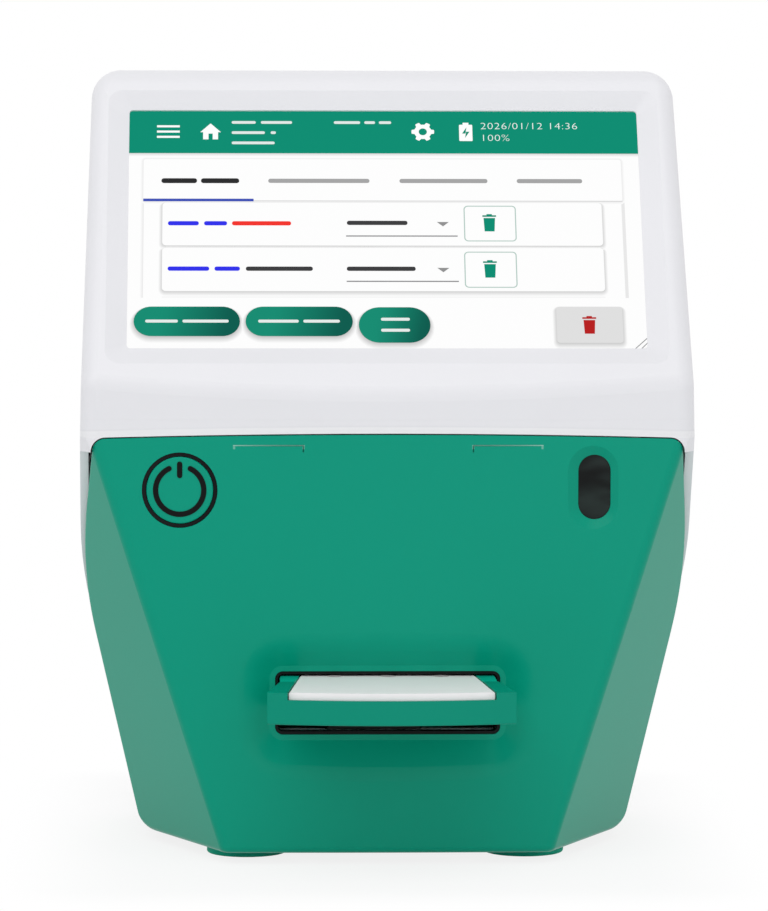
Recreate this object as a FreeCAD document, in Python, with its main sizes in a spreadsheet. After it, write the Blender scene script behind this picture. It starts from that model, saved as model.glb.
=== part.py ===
import FreeCAD, Part
import os
import re
import Sketcher

"""Desktop reader for lateral-flow test cassettes: a white upper shell with a sloped touch screen,
a green front cover with a cassette drawer, a power button and a scanner window, and what they hold.

Frame: X to the right, Y away from the user, Z up. Each piece is drawn with Y = 0 at the middle of
the front panel and then set back, so that the origin is under the middle of the whole reader.
"""

# name, value in millimetres or degrees, what it is
SIZES = [
    ("body_depth", 185.0, "front panel to rear face"),
    ("shell_top", 238.0, "height of the top face"),
    ("foot_height", 3.3, "underside of the shell above the table"),
    ("half_width_top", 89.9, "half width at the top face"),
    ("half_width_knee", 93.07, "half width where the side walls begin to taper"),
    ("half_width_base", 74.9, "half width at the underside"),
    ("knee_height", 86.0, "height where the side walls begin to taper"),
    ("knee_radius", 125.0, "blend of the side walls at the knee"),
    ("front_bow", 1600.0, "plan radius of the bowed front"),
    ("screen_tilt", 34.5, "lean of the screen face from upright"),
    ("crease_height", 141.6, "where the screen face leaves the upright band"),
    ("crease_radius", 8.0, "blend of that crease"),
    ("top_radius", 9.0, "rounding round the top face"),
    ("side_radius", 5.0, "rounding of the front edges at the sides"),
    ("rear_radius", 8.0, "rounding of the upright rear edges"),
    ("base_radius", 6.5, "rounding of the lower side edges"),
    ("wall", 2.5, "thickness of the moulded walls"),
    ("fit_gap", 0.3, "clearance between fixed pieces"),
    ("seam_height", 129.2, "top edge of the green cover at the middle"),
    ("seam_bow", 2766.0, "radius of that arched edge"),
    ("seam_gap", 0.4, "open seam between cover and shell"),
    ("lobe_step", 0.9, "how far the shell's lower corners stand over the facets"),
    ("cover_half_width", 93.05, "half width of the cover at its knee"),
    ("cover_half_seam", 87.9, "half width of the cover at the seam"),
    ("cover_knee_radius", 120.0, "blend of the cover's sides"),
    ("cover_corner", 4.2, "rounding of the cover's top corners"),
    ("split_front", 6.0, "side parting line at the top of the cover"),
    ("split_rear", 111.0, "side parting line at the underside"),
    ("facet_half_base", 48.7, "half width of the flat front at the underside"),
    ("facet_half_seam", 88.0, "half width of the flat front at the seam"),
    ("facet_angle", 65.0, "turn of the side facets from the front, in plan"),
    ("facet_round", 4.0, "rounding between the flat front and a facet"),
    ("cover_round", 2.0, "rounding of the cover's lower edge"),
    ("dish_half_width", 43.0, "finger dish, outer half width"),
    ("dish_low", 27.0, "finger dish, lower edge"),
    ("dish_high", 67.0, "finger dish, upper edge"),
    ("dish_floor", 2.6, "level border of the dish round the slot"),
    ("dish_depth", 3.2, "depth of the finger dish"),
    ("dish_corner", 12.0, "plan rounding of the dish"),
    ("dish_blend", 14.0, "blend of the dish's rim into the panel"),
    ("slot_half_width", 32.9, "drawer slot, half width"),
    ("slot_low", 39.8, "drawer slot, lower edge"),
    ("slot_high", 57.1, "drawer slot, upper edge"),
    ("liner_wall", 0.8, "wall of the slot liner"),
    ("button_x", 62.3, "power button to the left of the middle"),
    ("button_height", 112.6, "middle of the power button"),
    ("cap_radius", 10.0, "power button cap"),
    ("bezel_width", 1.2, "dark ring round the cap"),
    ("button_travel", 0.8, "how far the cap can be pressed"),
    ("window_x", 61.8, "scanner window to the right of the middle"),
    ("window_height", 113.4, "middle of the scanner window"),
    ("window_width", 9.7, "scanner window, width"),
    ("window_length", 19.4, "scanner window, length"),
    ("window_rim", 3.0, "sloped rim round the scanner window"),
    ("window_sink", 1.6, "depth of that rim"),
    ("tab_groove", 0.4, "width of the two latch grooves"),
    ("tab_height", 126.2, "height of the latch grooves"),
    ("tab_inner", 25.2, "inner end of each latch groove"),
    ("tab_outer", 46.2, "outer end of each latch groove"),
    ("recess_half_width", 85.0, "screen recess, outer half width"),
    ("recess_low", 10.2, "lower edge of the recess, up the screen face"),
    ("recess_high", 109.7, "upper edge of the recess, up the screen face"),
    ("recess_depth", 2.4, "depth of the screen recess"),
    ("screen_half_width", 78.3, "visible glass, half width"),
    ("screen_low", 17.3, "lower edge of the visible glass"),
    ("screen_high", 103.7, "upper edge of the visible glass"),
    ("lip", 0.6, "edge of the recess above the glass"),
    ("glass_overlap", 2.0, "hidden margin of the glass"),
    ("glass", 1.1, "thickness of the touch glass"),
    ("display", 5.2, "thickness of the display module"),
    ("sheet_metal", 1.4, "thickness of bent metal brackets"),
    ("door_half_width", 70.0, "rear cover, half width"),
    ("door_low", 18.0, "rear cover, lower edge"),
    ("door_high", 204.0, "rear cover, upper edge"),
    ("door_ledge", 4.5, "ledge that carries the rear cover"),
    ("usb_x", 34.0, "USB sockets to the left of the middle"),
    ("usb_pitch", 24.0, "distance between the USB sockets"),
    ("inlet_x", 30.0, "power inlet to the right of the middle"),
    ("screw", 3.0, "screw shank"),
    ("screw_head", 5.6, "screw head"),
    ("deck_height", 39.0, "top of the chassis deck"),
    ("deck_half_width", 48.0, "chassis deck, half width"),
    ("deck_front", 14.0, "front edge of the chassis"),
    ("deck_rear", 166.0, "rear edge of the chassis"),
    ("rail_front", 9.0, "front end of the drawer rails"),
    ("rail_rear", 110.0, "rear end of the drawer rails"),
    ("rail_width", 5.2, "thickness of a drawer rail"),
    ("rib_height", 1.4, "rib that guides the drawer"),
    ("rib_reach", 2.2, "how far the rib reaches into the drawer"),
    ("slide_gap", 0.4, "side clearance of the drawer"),
    ("rib_gap", 0.2, "clearance above and below the rib"),
    ("tray_low", 47.1, "underside of the drawer"),
    ("tray_high", 56.5, "top of the drawer"),
    ("tray_floor", 3.5, "floor of the drawer"),
    ("drawer_out", 43.5, "handle front to front panel, as the drawer stands"),
    ("drawer_length", 130.0, "handle front to the drawer's rear end"),
    ("handle_half_width", 36.4, "half width of the handle at its front"),
    ("handle_length", 32.5, "front to back of the flared handle"),
    ("handle_bow", 140.0, "plan radius of the handle's front"),
    ("close_travel", 13.0, "how far the drawer can close from there"),
    ("open_travel", 36.0, "how far the drawer can open from there"),
    ("cassette_half_width", 30.4, "test cassette, half width at its front"),
    ("cassette_taper", 0.0889, "narrowing of each side per unit of length"),
    ("cassette_length", 70.0, "test cassette, length"),
    ("cassette_lip", 2.1, "cassette edge seen above the handle"),
    ("strip_pitch", 16.0, "distance between the test strips"),
    ("stop_peg", 4.0, "drawer stop peg"),
    ("post_pitch", 17.0, "posts to either side of the button and the scanner"),
    ("front_screw_x", 24.0, "front base screws to either side of the middle"),
    ("rear_screw_x", 64.0, "rear base screws to either side of the middle"),
    ("rear_screw_y", 148.0, "rear base screws behind the panel"),
    ("usb_width", 14.5, "USB socket, width"),
    ("usb_tall", 7.0, "USB socket, height"),
    ("vent_low", 110.0, "lowest vent in the rear cover"),
    ("vent_pitch", 6.0, "distance between the vents"),
    ("vent_rows", 12.0, "number of vents in a column"),
    ("foot_radius", 12.2, "rubber foot"),
    ("foot_x", 42.2, "feet to either side of the middle"),
    ("foot_front", 27.0, "front feet behind the panel"),
    ("foot_rear", 158.0, "rear feet behind the panel"),
]

doc = FreeCAD.newDocument("TestReader")
sheet = doc.addObject("Spreadsheet::Sheet", "Sizes")
for row, (alias, value, note) in enumerate(SIZES, 1):
    sheet.set(f"A{row}", note)
    sheet.set(f"B{row}", str(value))
    sheet.setAlias(f"B{row}", alias)
doc.recompute()

ALIASES = {alias for alias, _, _ in SIZES}
# geometry that several pieces share, written once over the sheet's names
SHARED = {
    "y_origin": "(drawer_out - body_depth) / 2",
    "taper": "(half_width_knee - half_width_base) / (knee_height - foot_height)",
    "cover_knee": "(foot_height + (cover_half_width - half_width_base) / (taper))",
    "cover_lean": "((cover_half_width - cover_half_seam) / (seam_height - cover_knee))",
    "seam_side": "(seam_height - (cover_half_seam - cover_corner) ^ 2 / (2 * seam_bow))",
    "shoulder": "(cover_half_seam + cover_lean * (seam_height - seam_side + cover_corner))",
    "lean": "(facet_half_seam - facet_half_base) / (seam_height - foot_height)",
    "facet_stretch": "(sqrt(1 + (lean * sin(facet_angle)) ^ 2) / sin(facet_angle))",
    "floor_low": "(foot_height + 1)",
    "floor_high": "(floor_low + wall)",
    "bezel_radius": "(cap_radius + bezel_width)",
    "cap_y": "(button_x ^ 2 / (2 * front_bow))",
    "window_y": "(window_x ^ 2 / (2 * front_bow))",
    "glass_top": "(recess_depth + lip)",
    "display_top": "(glass_top + glass + 0.2)",
    "display_back": "(display_top + display)",
    "rail_side": "(tray_half_width + slide_gap)",
    "tray_half_width": "(slot_half_width - 0.5)",
    "tray_front": "(handle_length - drawer_out)",
    "tray_rear": "(drawer_length - drawer_out)",
    "pocket_floor": "(tray_low + tray_floor)",
    "handle_corner": "(handle_half_width ^ 2 / (2 * handle_bow) - drawer_out)",
    "cassette_front": "(1.4 - drawer_out)",
    "cassette_split": "(tray_high - cassette_lip)",
    "rib_low": "(tray_low + 1)",
    "peg_y": "(deck_front + 4)",
    "board_height": "(deck_height + 23)",
    "board_top": "(board_height + 1.6)",
    "port_height": "(board_top + usb_tall / 2 + 0.05)",
    "hood_low": "(slot_high + 0.7)",
    "hood_high": "(hood_low + 54)",
    "hood_rear": "(rail_front + 57)",
    "optic_y": "((rail_front + 3 + hood_rear) / 2)",
    "stop_x": "-4",
    "battery_top": "(deck_height - 6)",
    "board_rear": "(body_depth - 6)",
    "window_start": "(cassette_front + 51)",
    "well_y": "(cassette_front + 45.5)",
    "bezel_seat": "(wall + (button_x + bezel_radius + 2) ^ 2 / (2 * front_bow) + 0.1)",
    "cap_back": "(wall + 4)",
    "plunger_front": "(cap_back + 1.5)",
    "switch_front": "(plunger_front + 2 + button_travel)",
    "switch_back": "(switch_front + 4.5)",
    "scanner_back": "(window_y + wall + 18)",
    "tongue_back": "2.2",
    "tongue_low": "(seam_height - 5)",
}


def full(expression):
    """The expression with every shared term written out and every size read from the sheet."""
    def swap(match):
        word = match.group(0)
        if word in SHARED:
            return "(" + full(SHARED[word]) + ")"
        return "Sizes." + word if word in ALIASES else word
    return re.sub(r"(?<![.\w])[a-z_]+\b", swap, str(expression))


def number(expression):
    """The value of an expression over the sheet."""
    return float(sheet.evalExpression(full(expression)))


class Pen:
    """Draws closed outlines in a sketch, each point dimensioned from the sketch's origin."""

    def __init__(self, sketch):
        self.sketch = sketch

    def dimension(self, kind, curve, end, expression):
        index = self.sketch.addConstraint(Sketcher.Constraint(kind, -1, 1, curve, end, number(expression)))
        self.sketch.setExpression(f"Constraints[{index}]", full(expression))

    def hold(self, curve, end, x, y):
        self.dimension("DistanceX", curve, end, x)
        self.dimension("DistanceY", curve, end, y)

    def line(self, start, finish):
        segment = Part.LineSegment(FreeCAD.Vector(*start, 0), FreeCAD.Vector(*finish, 0))
        return self.sketch.addGeometry(segment)

    def join(self, curves):
        for curve, following in zip(curves, curves[1:] + curves[:1]):
            self.sketch.addConstraint(Sketcher.Constraint("Coincident", curve, 2, following, 1))

    def polygon(self, *points):
        corners = [(number(x), number(y)) for x, y in points]
        curves = [self.line(a, b) for a, b in zip(corners, corners[1:] + corners[:1])]
        self.join(curves)
        for curve, (x, y) in zip(curves, points):
            self.hold(curve, 1, x, y)

    def box(self, x_low, x_high, y_low, y_high):
        self.polygon((x_low, y_low), (x_high, y_low), (x_high, y_high), (x_low, y_high))

    def circle(self, x, y, radius):
        centre = FreeCAD.Vector(number(x), number(y), 0)
        curve = self.sketch.addGeometry(Part.Circle(centre, FreeCAD.Vector(0, 0, 1), number(radius)))
        self.hold(curve, 3, x, y)
        index = self.sketch.addConstraint(Sketcher.Constraint("Radius", curve, number(radius)))
        self.sketch.setExpression(f"Constraints[{index}]", full(radius))

    def bowed_strip(self, half, apex, bow, far):
        """Between an arc through (0, apex) and a straight side at far; a positive bow has its
        centre above the apex, a negative one below it."""
        radius, middle = abs(number(bow)), number(apex) + number(bow)
        sign = 1 if number(bow) < 0 else -1
        reach = number(half)
        rise = middle + sign * (radius ** 2 - reach ** 2) ** 0.5
        left, right = FreeCAD.Vector(-reach, rise, 0), FreeCAD.Vector(reach, rise, 0)
        arc = self.sketch.addGeometry(Part.Arc(left, FreeCAD.Vector(0, number(apex), 0), right))
        ends = (1, 2) if self.sketch.getPoint(arc, 1).x < 0 else (2, 1)
        far_y = number(far)
        sides = [self.line((reach, rise), (reach, far_y)), self.line((reach, far_y), (-reach, far_y)),
                 self.line((-reach, far_y), (-reach, rise))]
        for (one, one_end), (two, two_end) in (((arc, ends[1]), (sides[0], 1)), ((sides[0], 2), (sides[1], 1)),
                                               ((sides[1], 2), (sides[2], 1)), ((sides[2], 2), (arc, ends[0]))):
            self.sketch.addConstraint(Sketcher.Constraint("Coincident", one, one_end, two, two_end))
        self.hold(arc, 3, "0", f"({apex}) + ({bow})")
        index = self.sketch.addConstraint(Sketcher.Constraint("Radius", arc, radius))
        self.sketch.setExpression(f"Constraints[{index}]", full(f"abs({bow})"))
        self.dimension("DistanceX", arc, ends[0], f"-({half})")
        self.dimension("DistanceX", arc, ends[1], half)
        self.hold(sides[1], 1, half, far)
        self.hold(sides[1], 2, f"-({half})", far)

    def corner(self, side, x, y, radius):
        """What lies outside the rounded corner at (x, y), mirrored by side."""
        reach, height, r = number(x), number(y), number(radius)
        sign = float(side)
        centre = FreeCAD.Vector(sign * (reach - r), height - r, 0)
        middle = centre + FreeCAD.Vector(sign * r * 0.5 ** 0.5, r * 0.5 ** 0.5, 0)
        top, end = centre + FreeCAD.Vector(0, r, 0), centre + FreeCAD.Vector(sign * r, 0, 0)
        arc = self.sketch.addGeometry(Part.Arc(top, middle, end))
        first, last = (1, 2) if (self.sketch.getPoint(arc, 1) - top).Length < 0.01 else (2, 1)
        names = [(f"{side} * (({x}) + 20)", f"({y}) - ({radius})"), (f"{side} * (({x}) + 20)", f"({y}) + 20"),
                 (f"{side} * (({x}) - ({radius}))", f"({y}) + 20")]
        spots = [(number(a), number(b)) for a, b in names]
        lines = [self.line((end.x, end.y), spots[0]), self.line(spots[0], spots[1]),
                 self.line(spots[1], spots[2]), self.line(spots[2], (top.x, top.y))]
        self.sketch.addConstraint(Sketcher.Constraint("Coincident", arc, last, lines[0], 1))
        for one, two in zip(lines, lines[1:]):
            self.sketch.addConstraint(Sketcher.Constraint("Coincident", one, 2, two, 1))
        self.sketch.addConstraint(Sketcher.Constraint("Coincident", lines[3], 2, arc, first))
        self.hold(arc, 3, f"{side} * (({x}) - ({radius}))", f"({y}) - ({radius})")
        index = self.sketch.addConstraint(Sketcher.Constraint("Radius", arc, r))
        self.sketch.setExpression(f"Constraints[{index}]", full(radius))
        for line, place in zip(lines[1:], names):
            self.hold(line, 1, *place)
        self.sketch.addConstraint(Sketcher.Constraint("Horizontal", lines[0]))
        self.sketch.addConstraint(Sketcher.Constraint("Vertical", lines[3]))

    def rounded_box(self, x_low, x_high, y_low, y_high, radius):
        """A box with quarter arcs at its corners."""
        left, right, low, high, r = (number(e) for e in (x_low, x_high, y_low, y_high, radius))
        curves = []
        spots = [(right - r, high - r, 0), (left + r, high - r, 90), (left + r, low + r, 180), (right - r, low + r, 270)]
        names = [(f"({x_high}) - ({radius})", f"({y_high}) - ({radius})"),
                 (f"({x_low}) + ({radius})", f"({y_high}) - ({radius})"),
                 (f"({x_low}) + ({radius})", f"({y_low}) + ({radius})"),
                 (f"({x_high}) - ({radius})", f"({y_low}) + ({radius})")]
        turn = 3.141592653589793 / 180
        for (x, y, start), place in zip(spots, names):
            circle = Part.Circle(FreeCAD.Vector(x, y, 0), FreeCAD.Vector(0, 0, 1), r)
            arc = Part.ArcOfCircle(circle, start * turn, (start + 90) * turn)
            curves.append((self.sketch.addGeometry(arc), place))
        for (arc, place), (following, _) in zip(curves, curves[1:] + curves[:1]):
            start, finish = self.sketch.getPoint(arc, 2), self.sketch.getPoint(following, 1)
            side = self.line((start.x, start.y), (finish.x, finish.y))
            self.sketch.addConstraint(Sketcher.Constraint("Tangent", arc, 2, side, 1))
            self.sketch.addConstraint(Sketcher.Constraint("Tangent", side, 2, following, 1))
            self.hold(arc, 3, *place)
        index = self.sketch.addConstraint(Sketcher.Constraint("Radius", curves[0][0], r))
        self.sketch.setExpression(f"Constraints[{index}]", full(radius))
        for arc, _ in curves[1:]:
            self.sketch.addConstraint(Sketcher.Constraint("Equal", curves[0][0], arc))


# plane: role of the origin plane, and whether its normal runs against the row axis
PLANES = {"plan": ("XY_Plane", False), "front": ("XZ_Plane", True), "side": ("YZ_Plane", False)}


def new_body(name):
    return doc.addObject("PartDesign::Body", name)


def new_sketch(body, plane, at):
    """A sketch at a height (plan), a depth (front), an X (side), or on the leaning screen face
    (screen), where at counts outwards from the face and the sketch's Y runs up the face."""
    sketch = body.newObject("Sketcher::SketchObject", "Outline")
    role, against = PLANES.get(plane, ("XY_Plane", False))
    origin = [feature for feature in body.Origin.OriginFeatures if feature.Role == role][0]
    sketch.AttachmentSupport = (origin, [""])
    sketch.MapMode = "FlatFace"
    if plane == "screen":
        sketch.AttachmentOffset = FreeCAD.Placement(FreeCAD.Vector(), FreeCAD.Rotation(FreeCAD.Vector(1, 0, 0), 10))
        sketch.setExpression("AttachmentOffset.Rotation.Angle", full("90 - screen_tilt"))
        sketch.setExpression("AttachmentOffset.Base.y", full(f"-({at}) * cos(screen_tilt)"))
        sketch.setExpression("AttachmentOffset.Base.z", full(f"crease_height + ({at}) * sin(screen_tilt)"))
    else:
        sketch.setExpression("AttachmentOffset.Base.z", full(f"-({at})" if against else at))
    return sketch


def extrude(body, plane, low, high, draw, cut=False):
    """Adds or cuts the drawn outline between two stations along the plane's row axis."""
    sketch = new_sketch(body, plane, low)
    draw(Pen(sketch))
    feature = body.newObject("PartDesign::Pocket" if cut else "PartDesign::Pad", "Cut" if cut else "Pad")
    feature.Profile = sketch
    feature.setExpression("Length", full(f"({high}) - ({low})"))
    against = PLANES.get(plane, ("", False))[1]
    feature.Reversed = against != cut
    doc.recompute()
    if not cut:
        sketch.Visibility = False
    return feature


def cut(body, plane, low, high, draw):
    before = body.Shape.Volume
    feature = extrude(body, plane, low, high, draw, cut=True)
    if body.Shape.Volume > before - 1e-6:
        raise RuntimeError(f"{body.Name}: a cut between {low} and {high} removes nothing")
    return feature


def loft(body, plane, low, draw_low, high, draw_high, subtractive=False):
    """Adds or cuts the straight blend between two outlines."""
    sections = []
    for at, draw in ((low, draw_low), (high, draw_high)):
        sketch = new_sketch(body, plane, at)
        draw(Pen(sketch))
        sections.append(sketch)
    feature = body.newObject("PartDesign::SubtractiveLoft" if subtractive else "PartDesign::AdditiveLoft", "Loft")
    feature.Profile = sections[0]
    feature.Sections = sections[1:]
    feature.Ruled = True
    doc.recompute()
    return feature


def fillet(body, radius, choose):
    """Rounds every edge whose bounding box passes the test."""
    tip = body.Tip
    edges = [f"Edge{index}" for index, edge in enumerate(tip.Shape.Edges, 1) if choose(edge.BoundBox)]
    if not edges:
        raise RuntimeError(f"{body.Name}: no edge to round")
    feature = body.newObject("PartDesign::Fillet", "Round")
    feature.Base = (tip, edges)
    feature.setExpression("Radius", full(radius))
    doc.recompute()
    return feature


def combine(body, kind, *others):
    feature = body.newObject("PartDesign::Boolean", kind)
    feature.Type = kind
    feature.addObjects(list(others))
    doc.recompute()
    return feature


def near(value, expression, room=0.6):
    return abs(value - number(expression)) < room


def along_y(box):
    return box.XLength < 0.1 and box.ZLength < 0.1 and box.YLength > 1


def along_z(box):
    return box.XLength < 0.1 and box.YLength < 0.1 and box.ZLength > 0.3


NODES = {}


def keep(body, label):
    """Names a finished piece and sets it back to the row's origin."""
    body.Label = label
    body.setExpression("Placement.Base.y", full("y_origin"))
    NODES[label] = body
    return body


# ---------------------------------------------------------------- the outer forms

def shell_form(name, inset):
    """The whole reader's outer form, or the same form set in by a wall."""
    body = new_body(name)
    slant = f"({inset}) / cos(screen_tilt)"

    def profile(pen):
        pen.polygon(("-8", "foot_height"), ("-8", f"crease_height - (8 + {slant}) / tan(screen_tilt)"),
                    (f"(shell_top - ({inset}) - crease_height) * tan(screen_tilt) + {slant}",
                     f"shell_top - ({inset})"),
                    (f"body_depth - ({inset})", f"shell_top - ({inset})"),
                    (f"body_depth - ({inset})", "foot_height"))
    extrude(body, "side", "-110", "110", profile)
    for side in ("-1", "1"):
        def flank(pen):
            pen.polygon((f"{side} * (half_width_base - ({inset}))", "foot_height"),
                        (f"{side} * (half_width_knee - ({inset}))", "knee_height"),
                        (f"{side} * (half_width_top - ({inset}))", "shell_top - (" + inset + ")"),
                        (f"{side} * (half_width_top - ({inset}))", "shell_top + 9"),
                        (f"{side} * 111", "shell_top + 9"), (f"{side} * 111", "foot_height - 1"),
                        (f"{side} * (half_width_base - ({inset}))", "foot_height - 1"))
        cut(body, "front", "-9", "body_depth + 1", flank)
    cut(body, "plan", "0", "crease_height + 20",
        lambda pen: pen.bowed_strip("105", inset, f"front_bow - ({inset})", "-20"))
    fillet(body, f"knee_radius - ({inset})", lambda box: along_y(box) and near(box.ZMin, "knee_height"))
    if inset == "0":
        fillet(body, "base_radius", base_edge)
    fillet(body, f"crease_radius - ({inset})",
           lambda box: box.XLength > 150 and near(box.ZMin, "crease_height", 4))
    top = f"shell_top - ({inset})"
    fillet(body, f"top_radius - ({inset})", lambda box: near(box.ZMin, top) and near(box.ZMax, top))
    fillet(body, f"side_radius - ({inset}) * 0.8",
           lambda box: abs(box.XMin + box.XMax) > 150 and box.ZLength > 5 and box.YMax < number("body_depth") / 2)
    fillet(body, f"rear_radius - ({inset})",
           lambda box: abs(box.XMin + box.XMax) > 130 and near(box.YMin, f"body_depth - ({inset})", 2)
           and box.ZLength > 5)
    return body


def facet_x(depth, height, inset):
    """Where a side facet lies at a depth and height."""
    return (f"(facet_half_base + lean * (({height}) - foot_height) + ({depth}) / tan(facet_angle)"
            f" - ({inset}) * facet_stretch)")


def cut_facets(body, inset, high):
    """Cuts both side facets: a wedge that leans with the panel's edge, up to a height."""
    for side in (-1, 1):
        def facet(pen):
            pen.polygon((f"{side} * " + facet_x("-20", "foot_height - 2", inset), "-20"),
                        (f"{side} * " + facet_x("120", "foot_height - 2", inset), "120"),
                        (f"{side} * 190", "-20"))
        cutter = extrude(body, "plan", "foot_height - 2", high, facet, cut=True)
        cutter.UseCustomVector = True
        cutter.AlongSketchNormal = True
        cutter.setExpression("Direction.x", full(f"{side} * lean"))
        cutter.setExpression("Direction.y", "0")
        cutter.setExpression("Direction.z", "1")
        cutter.Reversed = False
        doc.recompute()


def base_edge(box):
    """The lower edge of a side wall."""
    return along_y(box) and near(box.ZMax, "foot_height") and abs(box.XMin) > number("half_width_base") - 1


def cover_region(name, back):
    """Everything in front of the slanting side parting line, which is moved back by back."""
    body = new_body(name)

    def wedge(pen):
        pen.polygon(("-9", "foot_height - 1"), (f"split_rear + ({back})", "foot_height - 1"),
                    (f"split_front + ({back})", "seam_height"),
                    (f"split_front + ({back})", "seam_height + 4"), ("-9", "seam_height + 4"))
    extrude(body, "side", "-100", "100", wedge)
    return body


def trim_to_seam(body, gap):
    """Cuts what lies over the arched seam and outside its two rounded ends."""
    cut(body, "front", "-10", "200",
        lambda pen: pen.bowed_strip("101", f"seam_height + ({gap})", "-seam_bow", "seam_height + 30"))
    for side in ("-1", "1"):
        cut(body, "front", "-10", "200",
            lambda pen: pen.corner(side, f"shoulder + ({gap})", f"seam_side + ({gap})",
                                   f"cover_corner + ({gap})"))


def cover_form(name, inset):
    """The front cover's outer form, or the same form set in by a wall and open behind."""
    outer = inset == "0"
    body = cover_region(name, "0" if outer else "20")
    for side in ("-1", "1"):
        def flank(pen):
            pen.polygon((f"{side} * (half_width_base - ({inset}))", "foot_height"),
                        (f"{side} * (cover_half_width - ({inset}))", "cover_knee"),
                        (f"{side} * (cover_half_seam - cover_lean * 9 - ({inset}))", "seam_height + 9"),
                        (f"{side} * 111", "seam_height + 9"), (f"{side} * 111", "foot_height - 2"),
                        (f"{side} * (half_width_base - ({inset}))", "foot_height - 2"))
        cut(body, "front", "-10", "200", flank)
    fillet(body, f"cover_knee_radius - ({inset})", lambda box: along_y(box) and near(box.ZMin, "cover_knee"))
    if outer:
        cut(body, "front", "-10", "200", lambda pen: pen.box("-101", "101", "-5", "foot_height"))
        fillet(body, "base_radius", base_edge)
    cut(body, "plan", "-2", "seam_height + 20",
        lambda pen: pen.bowed_strip("105", inset, f"front_bow - ({inset})", "-20"))
    cut_facets(body, inset, "seam_height + 5")
    if outer:
        fillet(body, "facet_round", lambda box: abs(box.XMin + box.XMax) > 100 and box.ZLength > 60
               and box.YMax < number("split_front"))
        trim_to_seam(body, "0")
        fillet(body, "cover_round", lambda box: box.ZMax < number("foot_height") + 0.1
               and box.YMin < number("split_front"))
    return body


# ---------------------------------------------------------------- front cover and what sits in it

def mirrored_pair():
    return (("left", "-1"), ("right", "1"))


def stadium(x, height, width, length):
    """Draws an upright slot with round ends."""
    return lambda pen: pen.rounded_box(f"({x}) - ({width}) / 2", f"({x}) + ({width}) / 2",
                                       f"({height}) - ({length}) / 2", f"({height}) + ({length}) / 2",
                                       f"({width}) * 0.4999")


def slot_outline(grow):
    return lambda pen: pen.rounded_box(f"-(slot_half_width + ({grow}))", f"slot_half_width + ({grow})",
                                       f"slot_low - ({grow})", f"slot_high + ({grow})", f"1.4 + ({grow})")


def dish_outline(grow, corner):
    return lambda pen: pen.rounded_box(f"-(dish_half_width + ({grow}))", f"dish_half_width + ({grow})",
                                       f"dish_low - ({grow})", f"dish_high + ({grow})", corner)


def dish_rim(box):
    """The edge where the dish meets the panel."""
    return (box.ZMin > number("dish_low") - 2 and box.ZMax < number("dish_high") + 2
            and abs(box.XMin) < number("dish_half_width") + 2 and box.YMax < 1.2)


def front_cover():
    body = cover_form("FrontCover", "0")
    cavity = cover_form("FrontCavity", "wall")
    # the cavity stays clear of the thick pad that carries the finger dish
    cut(cavity, "front", "-5", "dish_depth + wall", dish_outline("2", "dish_corner"))
    combine(body, "Cut", cavity)
    # finger dish round the slot, its rim blended into the panel
    loft(body, "front", "-0.4", dish_outline("1", "dish_corner"),
         "dish_depth", slot_outline("dish_floor"), subtractive=True)
    fillet(body, "dish_blend", dish_rim)
    cut(body, "front", "-2", "dish_depth + wall + 1", slot_outline("liner_wall + 0.1"))
    # power button well
    cut(body, "front", "-2", "20", lambda pen: pen.circle("-button_x", "button_height", "bezel_radius + 0.1"))
    # sloped rim and opening of the scanner window
    loft(body, "front", "window_y - 0.4", stadium("window_x", "window_height", "window_width + window_rim * 2.3",
                                                  "window_length + window_rim * 2.3"),
         "window_y + window_sink", stadium("window_x", "window_height", "window_width", "window_length"),
         subtractive=True)
    cut(body, "front", "0", "20", stadium("window_x", "window_height", "window_width", "window_length"))
    # latch grooves under the seam
    for side in ("-1", "1"):
        cut(body, "front", "-2", "0.75", lambda pen: pen.box(
            f"{side} * tab_inner", f"{side} * tab_outer", "tab_height - tab_groove", "tab_height"))
        cut(body, "front", "-2", "1", lambda pen: pen.box(
            f"{side} * tab_inner", f"{side} * (tab_inner + tab_groove)", "tab_height - 2.2", "tab_height - tab_groove"))
    # posts for the switch board and the scanner bracket, and blocks for the base screws
    for x, height, depth in (("-button_x", "button_height", "switch_back"), ("window_x", "window_height", "scanner_back")):
        for side in ("-1", "1"):
            extrude(body, "front", "wall + 0.5", depth, lambda pen: pen.circle(
                f"{x} + {side} * post_pitch", height, "2.6"))
            cut(body, "front", "wall + 2.5", depth, lambda pen: pen.circle(
                f"{x} + {side} * post_pitch", height, "1.2"))
    for side in ("-1", "1"):
        extrude(body, "plan", "floor_high + 0.1", "floor_high + 10", lambda pen: pen.box(
            f"{side} * front_screw_x - 5", f"{side} * front_screw_x + 5", "1.2", "13"))
        cut(body, "plan", "floor_high - 1", "floor_high + 8", lambda pen: pen.circle(
            f"{side} * front_screw_x", "8", "screw / 2 - 0.2"))
    return keep(body, "front_cover")


def slot_liner():
    body = new_body("SlotLiner")
    extrude(body, "front", "dish_depth + 0.3", "dish_depth + wall + 0.1", slot_outline("liner_wall"))
    extrude(body, "front", "dish_depth + wall + 0.1", "dish_depth + wall + 1.3", slot_outline("liner_wall + 3"))
    cut(body, "front", "0", "20", slot_outline("0"))
    return keep(body, "slot_liner")


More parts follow.
